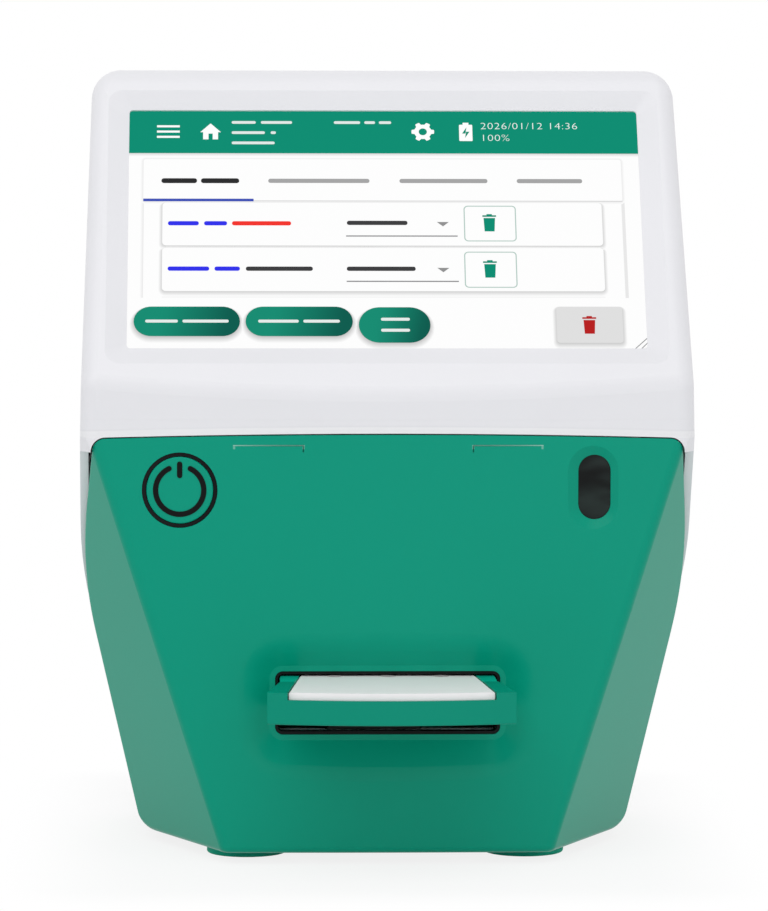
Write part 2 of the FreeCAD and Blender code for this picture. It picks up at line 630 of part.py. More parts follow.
def scanner_window():
    body = new_body("ScannerWindow")
    extrude(body, "front", "window_y + window_sink + 0.3", "window_y + wall + 0.4",
            stadium("window_x", "window_height", "window_width - 0.2", "window_length - 0.2"))
    extrude(body, "front", "window_y + wall + 0.4", "window_y + wall + 1.9",
            stadium("window_x", "window_height", "window_width + 4", "window_length + 4"))
    # its flange, too, stops short of the shell's tongue
    cut(body, "front", "window_y + wall + 0.45", "20", lambda pen: pen.box(
        "window_x - 20", "window_x + 20", "tongue_low - fit_gap", "tongue_low + 20"))
    return keep(body, "scanner_window")


def scanner_module():
    body = new_body("ScannerModule")
    extrude(body, "front", "window_y + wall + 2.2", "scanner_back - 0.1", lambda pen: pen.box(
        "window_x - 9", "window_x + 9", "window_height - 10.5", "window_height + 10.5"))
    cut(body, "front", "window_y + wall + 2.1", "window_y + wall + 6", lambda pen: pen.circle(
        "window_x", "window_height + 4.5", "3.2"))
    cut(body, "front", "window_y + wall + 2.1", "window_y + wall + 5", lambda pen: pen.box(
        "window_x - 3.5", "window_x + 3.5", "window_height - 7", "window_height - 2"))
    fillet(body, "0.6", lambda box: along_y(box) and box.YLength > 8)
    return keep(body, "scanner_module")


def post_plate(name, x, height, front, thickness, tall, label):
    """A small plate screwed to two posts of the front cover."""
    body = new_body(name)
    extrude(body, "front", front, f"({front}) + ({thickness})", lambda pen: pen.box(
        f"{x} - post_pitch - 4", f"{x} + post_pitch + 4", f"{height} - ({tall}) / 2", f"{height} + ({tall}) / 2"))
    for side in ("-1", "1"):
        cut(body, "front", f"({front}) - 1", f"({front}) + ({thickness}) + 1", lambda pen: pen.circle(
            f"{x} + {side} * post_pitch", height, "1.3"))
    fillet(body, "1.5", along_y_corner(thickness))
    return keep(body, label)


def along_y_corner(thickness):
    return lambda box: along_y(box) and abs(box.YLength - number(thickness)) < 0.05


def button_bezel():
    body = new_body("ButtonBezel")
    extrude(body, "front", "cap_y + 0.5", "bezel_seat",
            lambda pen: pen.circle("-button_x", "button_height", "bezel_radius"))
    extrude(body, "front", "bezel_seat", "bezel_seat + 1.4",
            lambda pen: pen.circle("-button_x", "button_height", "bezel_radius + 2"))
    cut(body, "front", "0", "20", lambda pen: pen.circle("-button_x", "button_height", "cap_radius + 0.15"))
    # the flange stops short of the shell's tongue
    cut(body, "front", "bezel_seat + 0.05", "20", lambda pen: pen.box(
        "-button_x - 20", "-button_x + 20", "tongue_low - fit_gap", "tongue_low + 20"))
    return keep(body, "button_bezel")


def power_cap():
    """The cap's face follows the bowed panel, its skirt guides it in the bezel."""
    body = new_body("PowerCap")
    extrude(body, "front", "-2", "cap_back", lambda pen: pen.circle("-button_x", "button_height", "cap_radius"))
    cut(body, "front", "cap_back - 2.4", "cap_back",
        lambda pen: pen.circle("-button_x", "button_height", "cap_radius - 1.2"))
    cut(body, "plan", "button_height - 30", "button_height + 30",
        lambda pen: pen.bowed_strip("105", "0.05", "front_bow", "-20"))
    fillet(body, "0.5", lambda box: near(box.XLength, "cap_radius * 2", 1) and box.YMax < number("cap_y") + 1)
    extrude(body, "front", "cap_back - 2.6", "plunger_front",
            lambda pen: pen.circle("-button_x", "button_height", "2.4"))
    return keep(body, "power_cap")


def switch_plunger():
    body = new_body("SwitchPlunger")
    shoulder = "switch_front - button_travel - 0.3"
    extrude(body, "front", "plunger_front", shoulder, lambda pen: pen.circle("-button_x", "button_height", "3"))
    extrude(body, "front", shoulder, "switch_front + 2", lambda pen: pen.circle("-button_x", "button_height", "1.7"))
    return keep(body, "switch_plunger")


def power_switch():
    body = new_body("PowerSwitch")
    extrude(body, "front", "switch_front", "switch_back", lambda pen: pen.box(
        "-button_x - 6", "-button_x + 6", "button_height - 6", "button_height + 6"))
    cut(body, "front", "switch_front - 1", "switch_front + 3.2",
        lambda pen: pen.circle("-button_x", "button_height", "1.8"))
    fillet(body, "0.8", lambda box: along_y(box) and box.YLength > 3.5)
    return keep(body, "power_switch")


# ---------------------------------------------------------------- upper housing, screen and rear cover

def screen_box(low, high, width):
    """A box on the leaning face: from low to high up the face and width to either side."""
    return lambda pen: pen.box(f"-({width})", width, low, high)


def upper_housing():
    body = shell_form("UpperHousing", "0")
    combine(body, "Cut", shell_form("HousingCavity", "wall"))
    opening = cover_region("CoverOpening", "seam_gap")
    trim_to_seam(opening, "seam_gap")
    combine(body, "Cut", opening)
    cut_facets(body, "-lobe_step", "seam_side + seam_gap")
    # frame behind the screen recess
    extrude(body, "screen", "-glass_top", "-1", screen_box("recess_low - 3", "recess_high + 1.5", "recess_half_width + 2.5"))
    # ledge round the rear opening
    ledge = "door_half_width + door_ledge"
    extrude(body, "front", "body_depth - wall * 2", "body_depth - 1", lambda pen: pen.box(
        f"-({ledge})", ledge, "door_low - door_ledge", "door_high + door_ledge"))
    cut(body, "front", "body_depth - wall * 3", "body_depth + 1", lambda pen: pen.rounded_box(
        "-(door_half_width - door_ledge)", "door_half_width - door_ledge",
        "door_low + door_ledge", "door_high - door_ledge", "4"))
    cut(body, "front", "body_depth - wall", "body_depth + 1", lambda pen: pen.rounded_box(
        "-(door_half_width + 0.2)", "door_half_width + 0.2", "door_low - 0.2", "door_high + 0.2", "6.2"))
    for x, height in door_screw_places():
        extrude(body, "front", "body_depth - 12", "body_depth - wall - 0.5", lambda pen: pen.circle(x, height, "3.4"))
        cut(body, "front", "body_depth - 11", "body_depth - wall", lambda pen: pen.circle(x, height, "screw / 2 - 0.2"))
    # screen recess with sloped walls, then the window
    loft(body, "screen", "0.3", recess_outline("0.5", "5"), "-recess_depth", recess_outline("-1", "1.2"),
         subtractive=True)
    cut(body, "screen", "-glass_top - 1", "0", window_outline("0", "1.2"))
    for x, up in display_screw_places():
        extrude(body, "screen", "-display_back - 0.1", "-glass_top + 0.5", lambda pen: pen.circle(x, up, "2.8"))
        cut(body, "screen", "-display_back - 0.1", "-glass_top - 1", lambda pen: pen.circle(x, up, "1.1"))
    # tongue that keeps the cover's top edge in line
    extrude(body, "front", "wall + tongue_back", "wall + tongue_back + 1.6", lambda pen: pen.box(
        "-76", "76", "tongue_low", "seam_height + 6"))
    extrude(body, "front", "wall - 0.3", "wall + tongue_back + 1.6", lambda pen: pen.box(
        "-76", "76", "seam_height + 3.4", "seam_height + 6"))
    # blocks for the rear base screws
    for side in ("-1", "1"):
        extrude(body, "plan", "floor_high + 0.1", "floor_high + 14", lambda pen: pen.box(
            f"{side} * (rear_screw_x - 6)", f"{side} * (half_width_base - 0.6)", "rear_screw_y - 6", "rear_screw_y + 6"))
        cut(body, "plan", "floor_high - 1", "floor_high + 10", lambda pen: pen.circle(
            f"{side} * rear_screw_x", "rear_screw_y", "screw / 2 - 0.2"))
    return keep(body, "upper_housing")


def recess_outline(grow, corner):
    """The recess grown outwards, or shrunk to the window where grow is -1."""
    if grow == "-1":
        return window_outline("0", corner)
    return lambda pen: pen.rounded_box(f"-(recess_half_width + {grow})", f"recess_half_width + {grow}",
                                       f"recess_low - {grow}", f"recess_high + {grow}", corner)


def window_outline(grow, corner):
    return lambda pen: pen.rounded_box(f"-(screen_half_width + ({grow}))", f"screen_half_width + ({grow})",
                                       f"screen_low - ({grow})", f"screen_high + ({grow})", corner)


def display_screw_places():
    return [(f"{side} * (screen_half_width + 5.4)", up) for side in ("-1", "1")
            for up in ("screen_low + 6", "screen_high - 6")]


def door_screw_places():
    return [(f"{side} * (door_half_width - 5)", height) for side in ("-1", "1")
            for height in ("door_low + 5", "door_high - 5")]


def touch_glass():
    body = new_body("TouchGlass")
    extrude(body, "screen", "-(glass_top + 0.05 + glass)", "-(glass_top + 0.05)", window_outline("glass_overlap", "2"))
    return keep(body, "touch_glass")


def display_module():
    body = new_body("DisplayModule")
    extrude(body, "screen", "-display_back", "-display_top", window_outline("0.8", "1"))
    cut(body, "screen", "-display_back", "-display_back + 1.2",
        screen_box("screen_low + 12", "screen_high - 12", "screen_half_width - 14"))
    return keep(body, "display_module")


def display_frame():
    """A pressed plate behind the display with an ear at each corner and a large opening."""
    body = new_body("DisplayFrame")
    front = "-(display_back + 0.15)"
    back = "-(display_back + 0.15 + sheet_metal)"
    extrude(body, "screen", back, front, window_outline("0.8", "3"))
    for x, up in display_screw_places():
        extrude(body, "screen", back, front, lambda pen: pen.box(
            f"{x} - 3.9", f"{x} + 3.9", f"{up} - 4.5", f"{up} + 4.5"))
        cut(body, "screen", back, front, lambda pen: pen.circle(x, up, "1.4"))
    cut(body, "screen", back, front, window_outline("-14", "6"))
    return keep(body, "display_frame")


def rear_cover():
    body = new_body("RearCover")
    extrude(body, "front", "body_depth - wall + 0.1", "body_depth", lambda pen: pen.rounded_box(
        "-door_half_width", "door_half_width", "door_low", "door_high", "6"))
    # two columns of vents, narrow enough to keep fingers out
    for side in ("-1", "1"):
        vent = cut(body, "front", "body_depth - wall - 1", "body_depth + 1", lambda pen: pen.rounded_box(
            f"{side} * 28 - 20", f"{side} * 28 + 20", "vent_low", "vent_low + 2.4", "1.19"))
        rows = body.newObject("PartDesign::LinearPattern", "Vents")
        rows.Originals = [vent]
        rows.Direction = (vent.Profile[0], ["V_Axis"])
        rows.setExpression("Length", full("vent_pitch * (vent_rows - 1)"))
        rows.Occurrences = int(number("vent_rows"))
        body.Tip = rows
        doc.recompute()
    for x in ("-usb_x", "-usb_x + usb_pitch"):
        cut(body, "front", "body_depth - wall - 1", "body_depth + 1", lambda pen: pen.box(
            f"{x} - usb_width / 2 - 0.4", f"{x} + usb_width / 2 + 0.4",
            "port_height - usb_tall / 2 - 0.4", "port_height + usb_tall / 2 + 0.4"))
    cut(body, "front", "body_depth - wall - 1", "body_depth + 1",
        lambda pen: pen.circle("inlet_x", "port_height", "4.6"))
    for x, height in door_screw_places():
        cut(body, "front", "body_depth - wall - 1", "body_depth + 1", lambda pen: pen.circle(x, height, "screw / 2 + 0.2"))
        cut(body, "front", "body_depth - 1.4", "body_depth + 1",
            lambda pen: pen.circle(x, height, "screw_head / 2 + 0.3"))
    return keep(body, "rear_cover")


# ---------------------------------------------------------------- base, chassis and what stands on it

def foot_places():
    return [(end, side, f"{sign} * foot_x", y) for end, y in (("front", "foot_front"), ("rear", "foot_rear"))
            for side, sign in mirrored_pair()]


def base_screw_places():
    return [(f"{side} * {x}", y) for x, y in (("front_screw_x", "8"), ("rear_screw_x", "rear_screw_y"))
            for side in ("-1", "1")]


def base_plate():
    body = new_body("BasePlate")
    edge = "(wall + fit_gap + 0.2)"

    def outline(pen):
        low = "floor_low"
        points = [(facet_x("wall + fit_gap + 0.8", low, edge), "wall + fit_gap + 0.8"),
                  (f"half_width_base - {edge}", f"((half_width_base - {edge}) - " + facet_x("0", low, edge)
                   + ") * tan(facet_angle)"),
                  (f"half_width_base - {edge}", "body_depth - wall * 2 - fit_gap")]
        pen.polygon(*[(f"{x}", y) for x, y in points], *[(f"-({x})", y) for x, y in reversed(points)])
    extrude(body, "plan", "floor_low", "floor_high", outline)
    for _, _, x, y in foot_places():
        cut(body, "plan", "floor_low - 1", "floor_high + 1", lambda pen: pen.circle(x, y, "3.1"))
    for x, y in base_screw_places():
        cut(body, "plan", "floor_low - 1", "floor_high + 1", lambda pen: pen.circle(x, y, "screw / 2 + 0.2"))
    for side in ("-1", "1"):
        vent = cut(body, "plan", "floor_low - 1", "floor_high + 1", lambda pen: pen.rounded_box(
            f"{side} * 61 - 6", f"{side} * 61 + 6", "82", "84.4", "1.19"))
        rows = body.newObject("PartDesign::LinearPattern", "Vents")
        rows.Originals = [vent]
        rows.Direction = (vent.Profile[0], ["V_Axis"])
        rows.setExpression("Length", full("vent_pitch * 7"))
        rows.Occurrences = 8
        body.Tip = rows
        doc.recompute()
    return keep(body, "base_plate")


def feet():
    for end, side, x, y in foot_places():
        body = new_body(f"Foot{end}{side}")
        extrude(body, "plan", "0", "floor_low - 0.05", lambda pen: pen.circle(x, y, "foot_radius"))
        extrude(body, "plan", "floor_low - 0.05", "floor_high + 1.2", lambda pen: pen.circle(x, y, "2.9"))
        cut(body, "plan", "0", "1", lambda pen: pen.circle(x, y, "foot_radius - 6"))
        fillet(body, "0.8", lambda box: near(box.XLength, "foot_radius * 2", 0.1) and box.ZMax < 0.1)
        keep(body, f"foot_{end}_{side}")


def chassis():
    """A bent steel bridge over the battery, with posts for the main board."""
    body = new_body("Chassis")

    def bridge(pen):
        under = "deck_height - 2"
        half = [("0", "deck_height"), ("deck_half_width", "deck_height"),
                ("deck_half_width", "floor_high + 2.1"), ("deck_half_width + 6", "floor_high + 2.1"),
                ("deck_half_width + 6", "floor_high + 0.1"), ("deck_half_width - 2", "floor_high + 0.1"),
                ("deck_half_width - 2", under), ("0", under)]
        pen.polygon(*half[1:7], *[(f"-({x})", z) for x, z in reversed(half[1:7])])
    extrude(body, "front", "deck_front + 4", "deck_rear", bridge)
    # windows that lighten the legs
    cut(body, "side", "-deck_half_width - 1", "deck_half_width + 1", lambda pen: pen.rounded_box(
        "deck_front + 22", "deck_front + 72", "floor_high + 8", "deck_height - 8", "4"))
    cut(body, "side", "-deck_half_width - 1", "deck_half_width + 1", lambda pen: pen.rounded_box(
        "deck_front + 84", "deck_front + 134", "floor_high + 8", "deck_height - 8", "4"))
    for x, y in board_post_places():
        extrude(body, "plan", "deck_height - 0.5", "board_height", lambda pen: pen.circle(x, y, "3"))
        cut(body, "plan", "board_height - 8", "board_height", lambda pen: pen.circle(x, y, "1.2"))
    return keep(body, "chassis")


def board_post_places():
    return [(f"{side} * (deck_half_width - 4)", y) for side in ("-1", "1") for y in ("rail_rear + 6", "deck_rear - 6")]


def rails():
    for side, sign in mirrored_pair():
        body = new_body(f"Rail{side}")
        inner, outer = "rail_side", "(rail_side + rail_width)"
        rib = "(rail_side - slide_gap - rib_reach + 0.4)"

        def section(pen):
            points = [(inner, "deck_height + 0.05"), (outer, "deck_height + 0.05"), (outer, "hood_low - 0.05"),
                      (inner, "hood_low - 0.05"), (inner, "rib_low + rib_height"), (rib, "rib_low + rib_height"),
                      (rib, "rib_low"), (inner, "rib_low")]
            pen.polygon(*[(f"{sign} * {x}", z) for x, z in points])
        extrude(body, "front", "rail_front + 3", "rail_rear", section)
        fillet(body, "0.5", lambda box: along_y(box) and near(abs(box.XMin), rib, 0.05))
        keep(body, f"rail_{side}")


def optics_hood():
    """A dark box that keeps stray light off the cassette, open below."""
    body = new_body("OpticsHood")
    half = "(rail_side + rail_width)"
    extrude(body, "plan", "hood_low", "hood_high", lambda pen: pen.rounded_box(
        f"-{half}", half, "rail_front + 3", "hood_rear", "3"))
    cut(body, "plan", "hood_low", "hood_high - 2", lambda pen: pen.rounded_box(
        f"-({half} - 2)", f"{half} - 2", "rail_front + 5", "hood_rear - 2", "1.5"))
    cut(body, "plan", "hood_low", "hood_high + 1", lambda pen: pen.circle("0", "optic_y", "9.2"))
    return keep(body, "optics_hood")


def camera():
    board = new_body("CameraBoard")
    extrude(board, "plan", "hood_high + 3", "hood_high + 4.6", lambda pen: pen.box(
        "-17", "17", "optic_y - 17", "optic_y + 17"))
    for x in ("-14", "14"):
        for y in ("optic_y - 14", "optic_y + 14"):
            extrude(board, "plan", "hood_high + 0.05", "hood_high + 3", lambda pen: pen.circle(x, y, "2"))
    keep(board, "camera_board")
    lens = new_body("CameraLens")
    extrude(lens, "plan", "hood_high + 0.6", "hood_high + 2.95", lambda pen: pen.box(
        "-8", "8", "optic_y - 8", "optic_y + 8"))
    extrude(lens, "plan", "hood_high - 12", "hood_high + 0.6", lambda pen: pen.circle("0", "optic_y", "6.5"))
    cut(lens, "plan", "hood_high - 12", "hood_high - 10", lambda pen: pen.circle("0", "optic_y", "4.2"))
    keep(lens, "camera_lens")
    ring = new_body("LightRing")
    extrude(ring, "plan", "hood_high - 3.6", "hood_high - 2.05", lambda pen: pen.circle("0", "optic_y", "21"))
    cut(ring, "plan", "hood_high - 4", "hood_high", lambda pen: pen.circle("0", "optic_y", "7.4"))
    for turn in range(8):
        angle = f"{turn * 45}"
        extrude(ring, "plan", "hood_high - 4.8", "hood_high - 3.6", lambda pen: pen.box(
            f"15 * cos({angle}) - 1.6", f"15 * cos({angle}) + 1.6",
            f"optic_y + 15 * sin({angle}) - 1.6", f"optic_y + 15 * sin({angle}) + 1.6"))
    keep(ring, "light_ring")


def stop_block():
    """Guides the front of the drawer from below; its peg stops the drawer at both ends."""
    body = new_body("StopBlock")
    extrude(body, "plan", "deck_height + 0.05", "tray_low - 0.5", lambda pen: pen.box(
        "stop_x - 14.5", "stop_x + 14.5", "peg_y - 2.5", "peg_y + 16"))
    extrude(body, "plan", "tray_low - 0.5", "tray_low + 1.4", lambda pen: pen.circle("stop_x", "peg_y", "stop_peg / 2"))
    fillet(body, "1", lambda box: along_z(box) and box.ZLength > 4)
    return keep(body, "stop_block")


def drawer_switch():
    """Tells the reader that the drawer is home."""
    body = new_body("DrawerSwitch")
    start = "tray_rear + close_travel + 0.8"
    extrude(body, "plan", "deck_height + 0.05", "tray_low + 5", lambda pen: pen.box(
        "-7", "7", start, f"{start} + 8"))
    cut(body, "side", "-8", "8", lambda pen: pen.box(f"{start} + 5", f"{start} + 9", "tray_low", "tray_low + 6"))
    return keep(body, "drawer_switch")


def battery():
    pack = new_body("BatteryPack")
    extrude(pack, "plan", "floor_high + 0.1", "battery_top", lambda pen: pen.box(
        "-38", "38", "deck_front + 32", "deck_front + 132"))
    fillet(pack, "3", lambda box: along_y(box) and box.YLength > 50)
    keep(pack, "battery_pack")
    strap = new_body("BatteryStrap")

    def hoop(pen):
        outer = [("45", "floor_high + 0.1"), ("45", "floor_high + 1.3"), ("39.6", "floor_high + 1.3"),
                 ("39.6", "battery_top + 1.4")]
        inner = [("38.2", "battery_top + 0.1"), ("38.2", "floor_high + 0.1")]
        pen.polygon(*outer, *[(f"-{x}", z) for x, z in reversed(outer)],
                    *[(f"-{x}", z) for x, z in reversed(inner)], *inner)
    extrude(strap, "front", "deck_front + 72", "deck_front + 92", hoop)
    keep(strap, "battery_strap")


def main_board():
    body = new_body("MainBoard")
    extrude(body, "plan", "board_height + 0.05", "board_top", lambda pen: pen.box(
        "-58", "58", "rail_rear - 30", "board_rear"))
    for x, y in board_post_places():
        cut(body, "plan", "board_height - 1", "board_top + 1", lambda pen: pen.circle(x, y, "1.6"))
    # memory, radio and power parts that stand on the board
    for x_low, x_high, y_low, y_high, tall in (("-50", "-36", "rail_rear - 20", "rail_rear + 2", "2.2"),
                                               ("30", "48", "rail_rear - 22", "rail_rear - 4", "2.6"),
                                               ("36", "50", "rail_rear + 14", "rail_rear + 28", "6"),
                                               ("-14", "-4", "rail_rear - 26", "rail_rear - 18", "1.4")):
        extrude(body, "plan", "board_top", f"board_top + {tall}", lambda pen: pen.box(x_low, x_high, y_low, y_high))
    return keep(body, "main_board")


def heat_sink():
    """Straight fins on a base over the processor."""
    body = new_body("HeatSink")
    extrude(body, "plan", "board_top + 0.05", "board_top + 3", lambda pen: pen.box(
        "-20", "20", "rail_rear - 10", "rail_rear + 26"))
    fin = extrude(body, "plan", "board_top + 3", "board_top + 14", lambda pen: pen.box(
        "-20", "-18.6", "rail_rear - 10", "rail_rear + 26"))
    fins = body.newObject("PartDesign::LinearPattern", "Fins")
    fins.Originals = [fin]
    fins.Direction = (fin.Profile[0], ["H_Axis"])
    fins.setExpression("Length", full("38.6"))
    fins.Occurrences = 9
    body.Tip = fins
    doc.recompute()
    return keep(body, "heat_sink")


def sockets():
    for side, x in (("left", "-usb_x"), ("right", "-usb_x + usb_pitch")):
        body = new_body(f"Usb{side}")
        extrude(body, "front", "body_depth - 16", "body_depth - 0.6", lambda pen: pen.box(
            f"{x} - usb_width / 2", f"{x} + usb_width / 2", "port_height - usb_tall / 2", "port_height + usb_tall / 2"))
        cut(body, "front", "body_depth - 12", "body_depth", lambda pen: pen.box(
            f"{x} - usb_width / 2 + 0.6", f"{x} + usb_width / 2 - 0.6",
            "port_height - usb_tall / 2 + 0.6", "port_height + usb_tall / 2 - 0.6"))
        keep(body, f"usb_port_{side}")
    body = new_body("PowerInlet")
    extrude(body, "front", "body_depth - 16", "body_depth - wall - 0.2", lambda pen: pen.box(
        "inlet_x - 5", "inlet_x + 5", "board_top + 0.05", "port_height + 5.5"))
    extrude(body, "front", "body_depth - wall - 0.2", "body_depth - 0.6",
            lambda pen: pen.circle("inlet_x", "port_height", "4.2"))
    cut(body, "front", "body_depth - 12", "body_depth", lambda pen: pen.circle("inlet_x", "port_height", "2.9"))
    extrude(body, "front", "body_depth - 12.5", "body_depth - 3",
            lambda pen: pen.circle("inlet_x", "port_height", "1"))
    keep(body, "power_inlet")


def screws(label, places, axis, seat, head, shank):
    """A group of pan-head screws, each head on its seat and its shank pointing away from head."""
    body = None
    solids = []
    direction = {"plan": FreeCAD.Vector(0, 0, 1), "front": FreeCAD.Vector(0, 1, 0)}[axis]
    for place in places:
        first, second = (number(e) for e in place)
        at = FreeCAD.Vector(first, second, number(seat)) if axis == "plan" else FreeCAD.Vector(first, number(seat), second)
        way = direction * (1 if number(shank) > 0 else -1)
        stem = Part.makeCylinder(number("screw") / 2 - 0.35, abs(number(shank)), at, way)
        cap = Part.makeCylinder(number("screw_head") / 2, number(head), at, way * -1)
        drive = Part.makeCylinder(1, number(head) * 0.7, at - way * number(head), way)
        solids.append(stem.fuse(cap).removeSplitter().cut(drive))
    body = doc.addObject("Part::Feature", label.title().replace("_", ""))
    body.Shape = Part.makeCompound(solids)
    return keep(body, label)


# ---------------------------------------------------------------- drawer

def keystone(grow, front, rear):
    """The cassette's tapering plan outline, grown sideways."""
    half = "(cassette_half_width + ({0}) - cassette_taper * (({1}) - cassette_front))"
    return lambda pen: pen.polygon((f"-{half.format(grow, front)}", front), (half.format(grow, front), front),
                                   (half.format(grow, rear), rear), (f"-{half.format(grow, rear)}", rear))


def drawer_tray():
    body = new_body("DrawerTray")
    extrude(body, "plan", "tray_low", "tray_high", lambda pen: pen.box(
        "-tray_half_width", "tray_half_width", "tray_front + 0.05", "tray_rear"))
    cut(body, "plan", "pocket_floor", "tray_high + 1",
        keystone("fit_gap", "tray_front - 1", "cassette_front + cassette_length + 0.3"))
    # notch for a fingertip behind the cassette, and a well that lightens the rear
    cut(body, "plan", "pocket_floor", "tray_high + 1", lambda pen: pen.circle(
        "0", "cassette_front + cassette_length + 2", "8"))
    cut(body, "plan", "pocket_floor", "tray_high + 1", lambda pen: pen.rounded_box(
        "-tray_half_width + 4", "tray_half_width - 4", "cassette_front + cassette_length + 13", "tray_rear - 3", "3"))
    # side grooves for the rail ribs
    for side in ("-1", "1"):
        cut(body, "front", "tray_front - 1", "tray_rear + 1", lambda pen: pen.box(
            f"{side} * (tray_half_width - rib_reach)", f"{side} * (tray_half_width + 2)",
            "rib_low - rib_gap", "rib_low + rib_height + rib_gap"))
    # channel for the stop peg
    reach = "(stop_peg / 2 + 0.5)"
    cut(body, "plan", "tray_low - 1", "tray_low + 1.8", lambda pen: pen.box(
        f"stop_x - {reach}", f"stop_x + {reach}", f"peg_y - close_travel - {reach}", f"peg_y + open_travel + {reach}"))
    fillet(body, "0.8", lambda box: along_y(box) and box.ZMin > number("tray_high") - 0.1
           and abs(box.XMin) > number("tray_half_width") - 0.1)
    return keep(body, "drawer_tray")


def drawer_handle():
    """The flared front of the drawer, notched so that the cassette's edge shows."""
    body = new_body("DrawerHandle")

    def plan(pen):
        pen.polygon(("-handle_half_width", "-drawer_out - 5"), ("handle_half_width", "-drawer_out - 5"),
                    ("handle_half_width", "handle_corner"), ("tray_half_width", "tray_front"),
                    ("-tray_half_width", "tray_front"), ("-handle_half_width", "handle_corner"))
    extrude(body, "plan", "tray_low", "tray_high", plan)
    cut(body, "plan", "tray_low - 1", "tray_high + 1",
        lambda pen: pen.bowed_strip("60", "-drawer_out", "handle_bow", "-drawer_out - 20"))
    # the pocket's front follows the bow, its sides the cassette
    cut(body, "plan", "pocket_floor", "tray_high + 1",
        keystone("fit_gap", "cassette_front + 5", "tray_front + 1"))
    cut(body, "plan", "pocket_floor", "tray_high + 1", lambda pen: pen.bowed_strip(
        "cassette_half_width + fit_gap", "cassette_front - fit_gap", "handle_bow", "cassette_front + 5.1"))
    cut(body, "plan", "cassette_split", "tray_high + 1", keystone("fit_gap", "-drawer_out - 5", "tray_front"))
    cut(body, "plan", "tray_low - 1", "tray_low + 1", lambda pen: pen.rounded_box(
        "-22", "22", "-drawer_out + 9", "tray_front - 2.5", "2"))
    fillet(body, "0.6", lambda box: box.YMax < number("handle_corner") + 1 and box.XLength > 5
           and (near(box.ZMax, "tray_low", 0.05)))
    return keep(body, "drawer_handle")


def cassette():
    """Two snapped halves of a three-strip test cassette, and the strips between them."""
    front, rear = "cassette_front", "(cassette_front + cassette_length)"
    base = new_body("CassetteBase")
    extrude(base, "plan", "pocket_floor + 0.1", "cassette_split", keystone("0", front, rear))
    top = new_body("CassetteTop")
    extrude(top, "plan", "cassette_split + 0.02", "tray_high", keystone("0", front, rear))
    for half in (base, top):
        cut(half, "plan", "pocket_floor", "tray_high + 1",
            lambda pen: pen.bowed_strip("60", "cassette_front", "handle_bow", "-drawer_out - 20"))
    strips = []
    for lane in (-1, 0, 1):
        x = f"{lane} * strip_pitch"
        cut(base, "plan", "cassette_split - 1.2", "cassette_split + 1", lambda pen: pen.box(
            f"{x} - 2.4", f"{x} + 2.4", f"{front} + 8", f"{rear} - 4"))
        cut(top, "plan", "cassette_split - 1", "tray_high + 1", lambda pen: pen.rounded_box(
            f"{x} - 2", f"{x} + 2", "window_start", "window_start + 14", "1.2"))
        cut(top, "plan", "cassette_split - 1", "tray_high + 1", lambda pen: pen.circle(x, "well_y", "2.4"))
        strip = Part.makeBox(4, number("cassette_length - 14"), 0.8, FreeCAD.Vector(
            number(x) - 2, number("cassette_front + 9"), number("cassette_split - 1.15")))
        strips.append(strip)
    fillet(top, "0.5", lambda box: box.ZMin > number("tray_high") - 0.05 and (
        box.XLength > 40 or box.YLength > 60))
    keep(base, "cassette_base")
    keep(top, "cassette_top")
    group = doc.addObject("Part::Feature", "TestStrips")
    group.Shape = Part.makeCompound(strips)
    keep(group, "test_strips")


# ---------------------------------------------------------------- build, check and write

def build():
    upper_housing()
    front_cover()
    slot_liner()
    scanner_window()
    scanner_module()
    post_plate("ScannerBracket", "window_x", "window_height", "scanner_back + 0.05", "1.4", "20", "scanner_bracket")
    button_bezel()
    power_cap()
    switch_plunger()
    power_switch()
    post_plate("SwitchBoard", "-button_x", "button_height", "switch_back + 0.05", "1.6", "16", "switch_board")
    touch_glass()
    display_module()
    display_frame()
    rear_cover()
    base_plate()
    feet()
    chassis()
    rails()
    optics_hood()
    camera()
    stop_block()
    drawer_switch()
    battery()
    main_board()
    heat_sink()
    sockets()
    screws("base_screws", base_screw_places(), "plan", "floor_low - 0.05", "0.9", "9")
    screws("rear_cover_screws", door_screw_places(), "front", "body_depth - 1.35", "1.2", "-8")
    screws("board_screws", board_post_places(), "plan", "board_top + 0.05", "2", "-7")
    drawer_tray()
    drawer_handle()
    cassette()


def check():
    doc.recompute()
    for item in doc.Objects:
        if "Invalid" in item.State or "Error" in item.State:
            raise RuntimeError(f"{item.Label} ({item.Name}) did not compute: {item.State}")
    for label, body in NODES.items():
        shape = body.Shape
        if shape.isNull() or not shape.isValid() or not shape.Solids:
            raise RuntimeError(f"{label} has no valid shape")


def write():
    os.makedirs("parts", exist_ok=True)
    for label, body in NODES.items():
        body.Shape.exportStep(f"parts/{label}.step")


build()
check()
write()
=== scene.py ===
"""Finishes, screen picture and stage of a desktop test reader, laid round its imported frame."""

